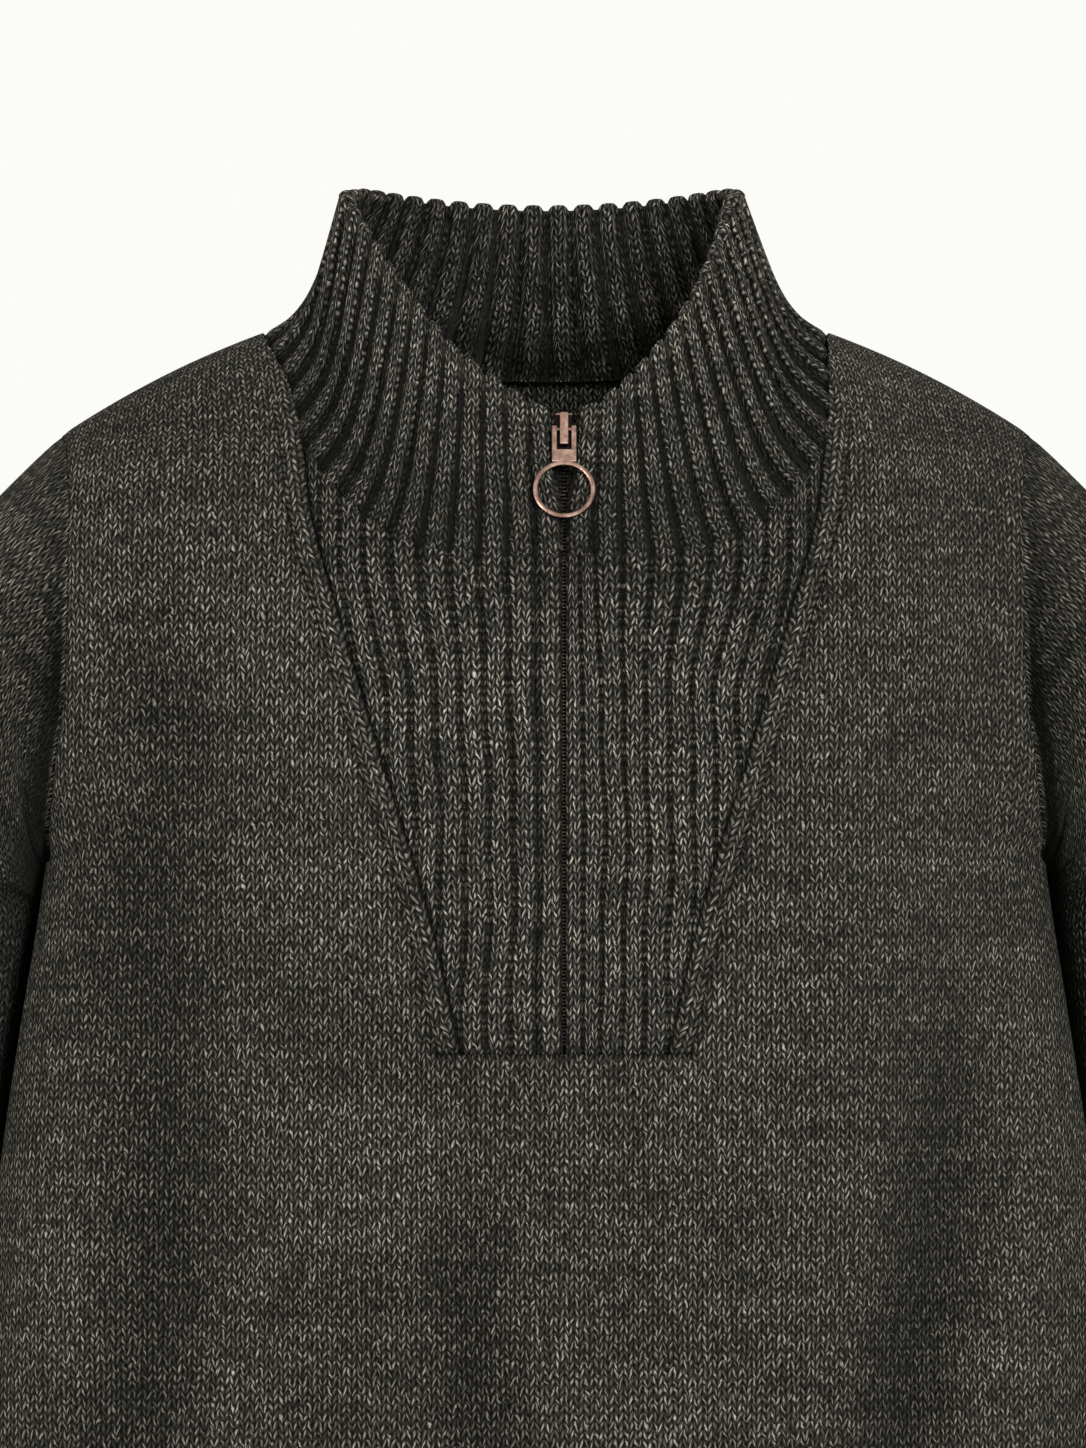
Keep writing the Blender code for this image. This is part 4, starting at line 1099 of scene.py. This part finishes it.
def leg_height(s, leg):
    """A leg's rounded form: 0 at its edges, 1 along its middle, lower towards its ends."""
    square = s.math("POWER", s.mul(s.math("ABSOLUTE", leg.off), 2.0), 2.0)
    dome = s.math("SQRT", s.math("MAXIMUM", s.sub(1.0, square), 0.0))
    taper = s.math("SINE", s.mul(s.add(s.mul(leg.out, 0.90), 0.05), pi))
    return s.mul(dome, s.add(s.mul(taper, 0.72), 0.28))


def knit_material(name, dark, light):
    """Marled wool in stockinette stitch: dark plies with tufts of light hair. The UV map counts stitches,
    and the painted_shading attribute says how much shade, or below 0 how much light, is painted at a place."""
    s = Shader(name)
    place = s.node("ShaderNodeTexCoord").outputs["Object"]
    painted_shading = s.node("ShaderNodeAttribute", attribute_name="painted_shading").outputs["Fac"]
    uv = s.node("ShaderNodeUVMap", uv_map="stitch").outputs[0]
    parts = s.node("ShaderNodeSeparateXYZ", {"Vector": uv}).outputs
    leg = stitch_leg(s, parts)
    height = leg_height(s, leg)
    tufts = [tuft(s, leg, seed, spread) for seed, spread in ((0.0, 0.30), (9.0, 0.58))]
    hair = s.noise(s.vector(s.mul(leg.u, 9.0), s.mul(leg.climb, 14.0), leg.row), 1.0, 2.0, 0.7)
    fleck = s.mul(s.math("MAXIMUM", *tufts), s.ramp(hair, 0.30, 0.62, 0.45, 1.25))
    # Lighter and darker courses, larger clouds, and a tone for each leg
    streak = s.noise(s.vector(s.mul(parts[0], 0.035), s.mul(parts[1], 0.45), 2.0), 1.0, 2.0)
    cloud = s.ramp(s.noise(place, 9.0, 3.0), 0.30, 0.70, -0.13, 0.13)
    tone = s.chance(s.vector(leg.number, leg.row, 5.0))[1]
    lightness = s.add(s.ramp(streak, 0.30, 0.70, 0.82, 1.18), cloud)
    lightness = s.mul(lightness, s.ramp(tone, 0.0, 1.0, 0.72, 1.28))
    # Painted shade: the gaps between the legs are drawn dark, and the painted_shading attribute darkens
    # furrows, folds and seams and lightens lit places
    painted_shade_factor = s.mul(s.ramp(height, 0.22, 0.86, 0.08, 1.0), s.sub(1.0, s.mul(painted_shading, PAINTED_SHADING_STRENGTH)))
    shade = s.mul(painted_shade_factor, lightness)
    grey = s.node("ShaderNodeCombineColor", {"Red": shade, "Green": shade, "Blue": shade}).outputs[0]
    yarn = s.blend(s.math("MINIMUM", fleck, 1.0), (*dark, 1), (*light, 1))
    fuzz = s.noise(place, 1500.0, 2.0, 0.7)
    form = s.add(height, s.mul(s.add(fuzz, s.mul(fleck, 0.5)), 0.22))
    look = {"Roughness": 1.0, "Specular IOR Level": 0.02, "Sheen Weight": 0.02, "Sheen Roughness": 0.5}
    look["Sheen Tint"] = (0.85, 0.83, 0.75, 1)
    look["Base Color"] = s.blend(1.0, yarn, grey, "MULTIPLY")
    look["Normal"] = s.relief(form, 0.9, 0.0016)
    return s.finished(look)


def copper_material(name, dull, bright, painted_shade_bands=()):
    """Darkened copper plating. painted_shade_bands lists (point, way, start, end): painted shade, from black
    at start to the full colour at end, by the distance from the point that way. The brightest of them counts."""
    s = Shader(name)
    place = s.node("ShaderNodeTexCoord").outputs["Object"]
    wear, stain = s.noise(place, 190.0, 2.0, 0.55), s.noise(place, 900.0, 2.0, 0.6)
    colour = s.blend(s.ramp(wear, 0.35, 0.68), (*dull, 1), (*bright, 1))
    share = None
    for point, way, start, end in painted_shade_bands:
        level = s.node("ShaderNodeVectorMath", {0: place, 1: tuple(way)}, operation="DOT_PRODUCT")
        low = float(np.dot(point, way))
        unshaded = s.ramp(level.outputs["Value"], low + start, low + end)
        share = s.math("MAXIMUM", share, unshaded) if share else unshaded
    if share:
        # Painted shade: black outside the unshaded bands
        colour = s.blend(share, (0.010, 0.007, 0.006, 1), colour)
    roughness = s.ramp(stain, 0.3, 0.7, 0.26, 0.38)
    return s.finished({"Base Color": colour, "Metallic": 1.0, "Roughness": roughness})


def woven_material(name):
    """Black tape in a fine plain weave; its UV map counts threads."""
    s = Shader(name)
    uv = s.node("ShaderNodeUVMap", uv_map="stitch").outputs[0]
    parts = s.node("ShaderNodeSeparateXYZ", {"Vector": uv}).outputs
    warp, weft = (s.math("ABSOLUTE", s.math("SINE", s.mul(parts[i], pi))) for i in (0, 1))
    thread = s.mul(warp, weft)
    look = {"Roughness": 0.95, "Specular IOR Level": 0.03}
    look["Base Color"] = s.blend(thread, (0.0030, 0.0030, 0.0028, 1), (0.012, 0.012, 0.011, 1))
    look["Normal"] = s.relief(thread, 0.6, 0.0002)
    return s.finished(look)


def zip_materials():
    """Plating of the pull and the slider, with painted shade: on the ring's rim between its faces, and on all
    the slider but its front and top.
    """
    points, ways = zip_line(PIN_Z + np.array((0.001, 0.0, -0.001)))
    way, pin = ways[1], points[1] + ways[1] * PIN_PROUD
    low_points, low_ways = zip_line(PIN_Z - RING_LOW - np.array((0.0, 0.001)))
    up = pin - low_points[0] - low_ways[0] * RING_PROUD
    face = unit(np.array((0.0, -up[2], up[1])))
    zip_up = np.array((0.0, way[2], -way[1]))
    pull_painted_shade = ((pin, face, -0.0003, 0.0009), (pin, -face, -0.0003, 0.0009))
    slider_painted_shade = ((pin, way, -0.0004, 0.0016), (pin, zip_up, 0.0076, 0.0080))
    pull = copper_material("antique_copper", DULL_COPPER, BRIGHT_COPPER, pull_painted_shade)
    return pull, copper_material("slider_copper", DULL_COPPER, BRIGHT_COPPER, slider_painted_shade)


# The pieces


def placed(piece, material, node):
    """Gives a cloth piece its material, hangs it on the garment's body and hides the part's node that it
    stands for.
    """
    piece.data.materials.append(material)
    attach(piece, "garment")
    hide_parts(node)


knit = knit_material("knit_wool", (0.0215, 0.0207, 0.0168), (0.205, 0.196, 0.162))
rib_knit = knit_material("rib_wool", (0.0230, 0.0222, 0.0182), (0.268, 0.257, 0.217))
tape_cloth = woven_material("zip_tape_cloth")
placed(panel("front_panel", -1, FRONT_CREASES), knit, "front_body")
placed(panel("back_panel", 1, BACK_CREASES), knit, "back_body")
for label, side_sign, furrow_table in (("left", -1, BIB_FURROWS_LEFT), ("right", 1, BIB_FURROWS_RIGHT)):
    arm = sleeve("knit_sleeve_" + label, side_sign)
    placed(arm, knit, "sleeve_" + label)
    wrist = cuff("ribbed_cuff_" + label, side_sign)
    placed(wrist, rib_knit, "cuff_" + label)
    insert = bib("ribbed_bib_" + label, side_sign, furrow_table)
    placed(insert, rib_knit, "bib_" + label)
placed(hem("ribbed_hem_front", -1, 58), rib_knit, "hem_front")
placed(hem("ribbed_hem_back", 1, 56), rib_knit, "hem_back")
placed(collar("ribbed_collar"), rib_knit, "collar")
placed(zip_tape("woven_zip_tape"), tape_cloth, "zip_tape")
teeth = zip_teeth("zip_teeth")
teeth.data.materials.append(copper_material("tooth_copper", (0.030, 0.022, 0.019), (0.064, 0.047, 0.039)))
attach(teeth, "garment")
pull_copper, slider_copper = zip_materials()
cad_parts["zip_slider"].data.materials[0] = slider_copper
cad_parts["zip_pull"].data.materials[0] = pull_copper

# Floor, light and camera


def add_floor(half, z, colour):
    corners = [(-half, -half, z), (half, -half, z), (half, half, z), (-half, half, z)]
    floor = add_mesh("floor", corners, np.array([[0, 1, 2, 3]]))
    matt = Shader("pale_floor").finished({"Base Color": (*colour, 1), "Roughness": 0.9})
    floor.data.materials.append(matt)


def add_world(colour):
    world = bpy.data.worlds.new("pale_studio")
    bpy.context.scene.world = world
    world.use_nodes = True
    background = world.node_tree.nodes["Background"]
    background.inputs["Color"].default_value = (*colour, 1)
    background.inputs["Strength"].default_value = 1.0


def add_light(name, place, aim, size, power):
    light = bpy.data.lights.new(name, "AREA")
    light.shape = "DISK"
    light.size = size
    light.energy = power
    lamp = bpy.data.objects.new(name, light)
    lamp.location = place
    lamp.rotation_euler = (Vector(aim) - Vector(place)).to_track_quat("-Z", "Y").to_euler()
    bpy.context.scene.collection.objects.link(lamp)


def add_camera(place, sensor, lens):
    """A camera that looks level along +Y."""
    camera = bpy.data.objects.new("camera", bpy.data.cameras.new("camera"))
    bpy.context.scene.collection.objects.link(camera)
    camera.location = place
    camera.rotation_euler = (pi / 2, 0, 0)
    camera.data.sensor_width = sensor
    camera.data.lens = lens
    bpy.context.scene.camera = camera


add_floor(9.0, -0.9, (0.62, 0.615, 0.60))
add_world((0.975, 0.966, 0.931))
add_light("key", (1.05, -3.5, 0.85), (0, 0, -0.2), 0.8, 170.0)
add_light("fill", (-2.6, -2.2, 0.2), (0, 0, -0.3), 1.6, 62.0)
add_camera((-0.0013, -4.0, -0.176), 36.0, 221.0)
bpy.context.scene.view_settings.view_transform = "Standard"
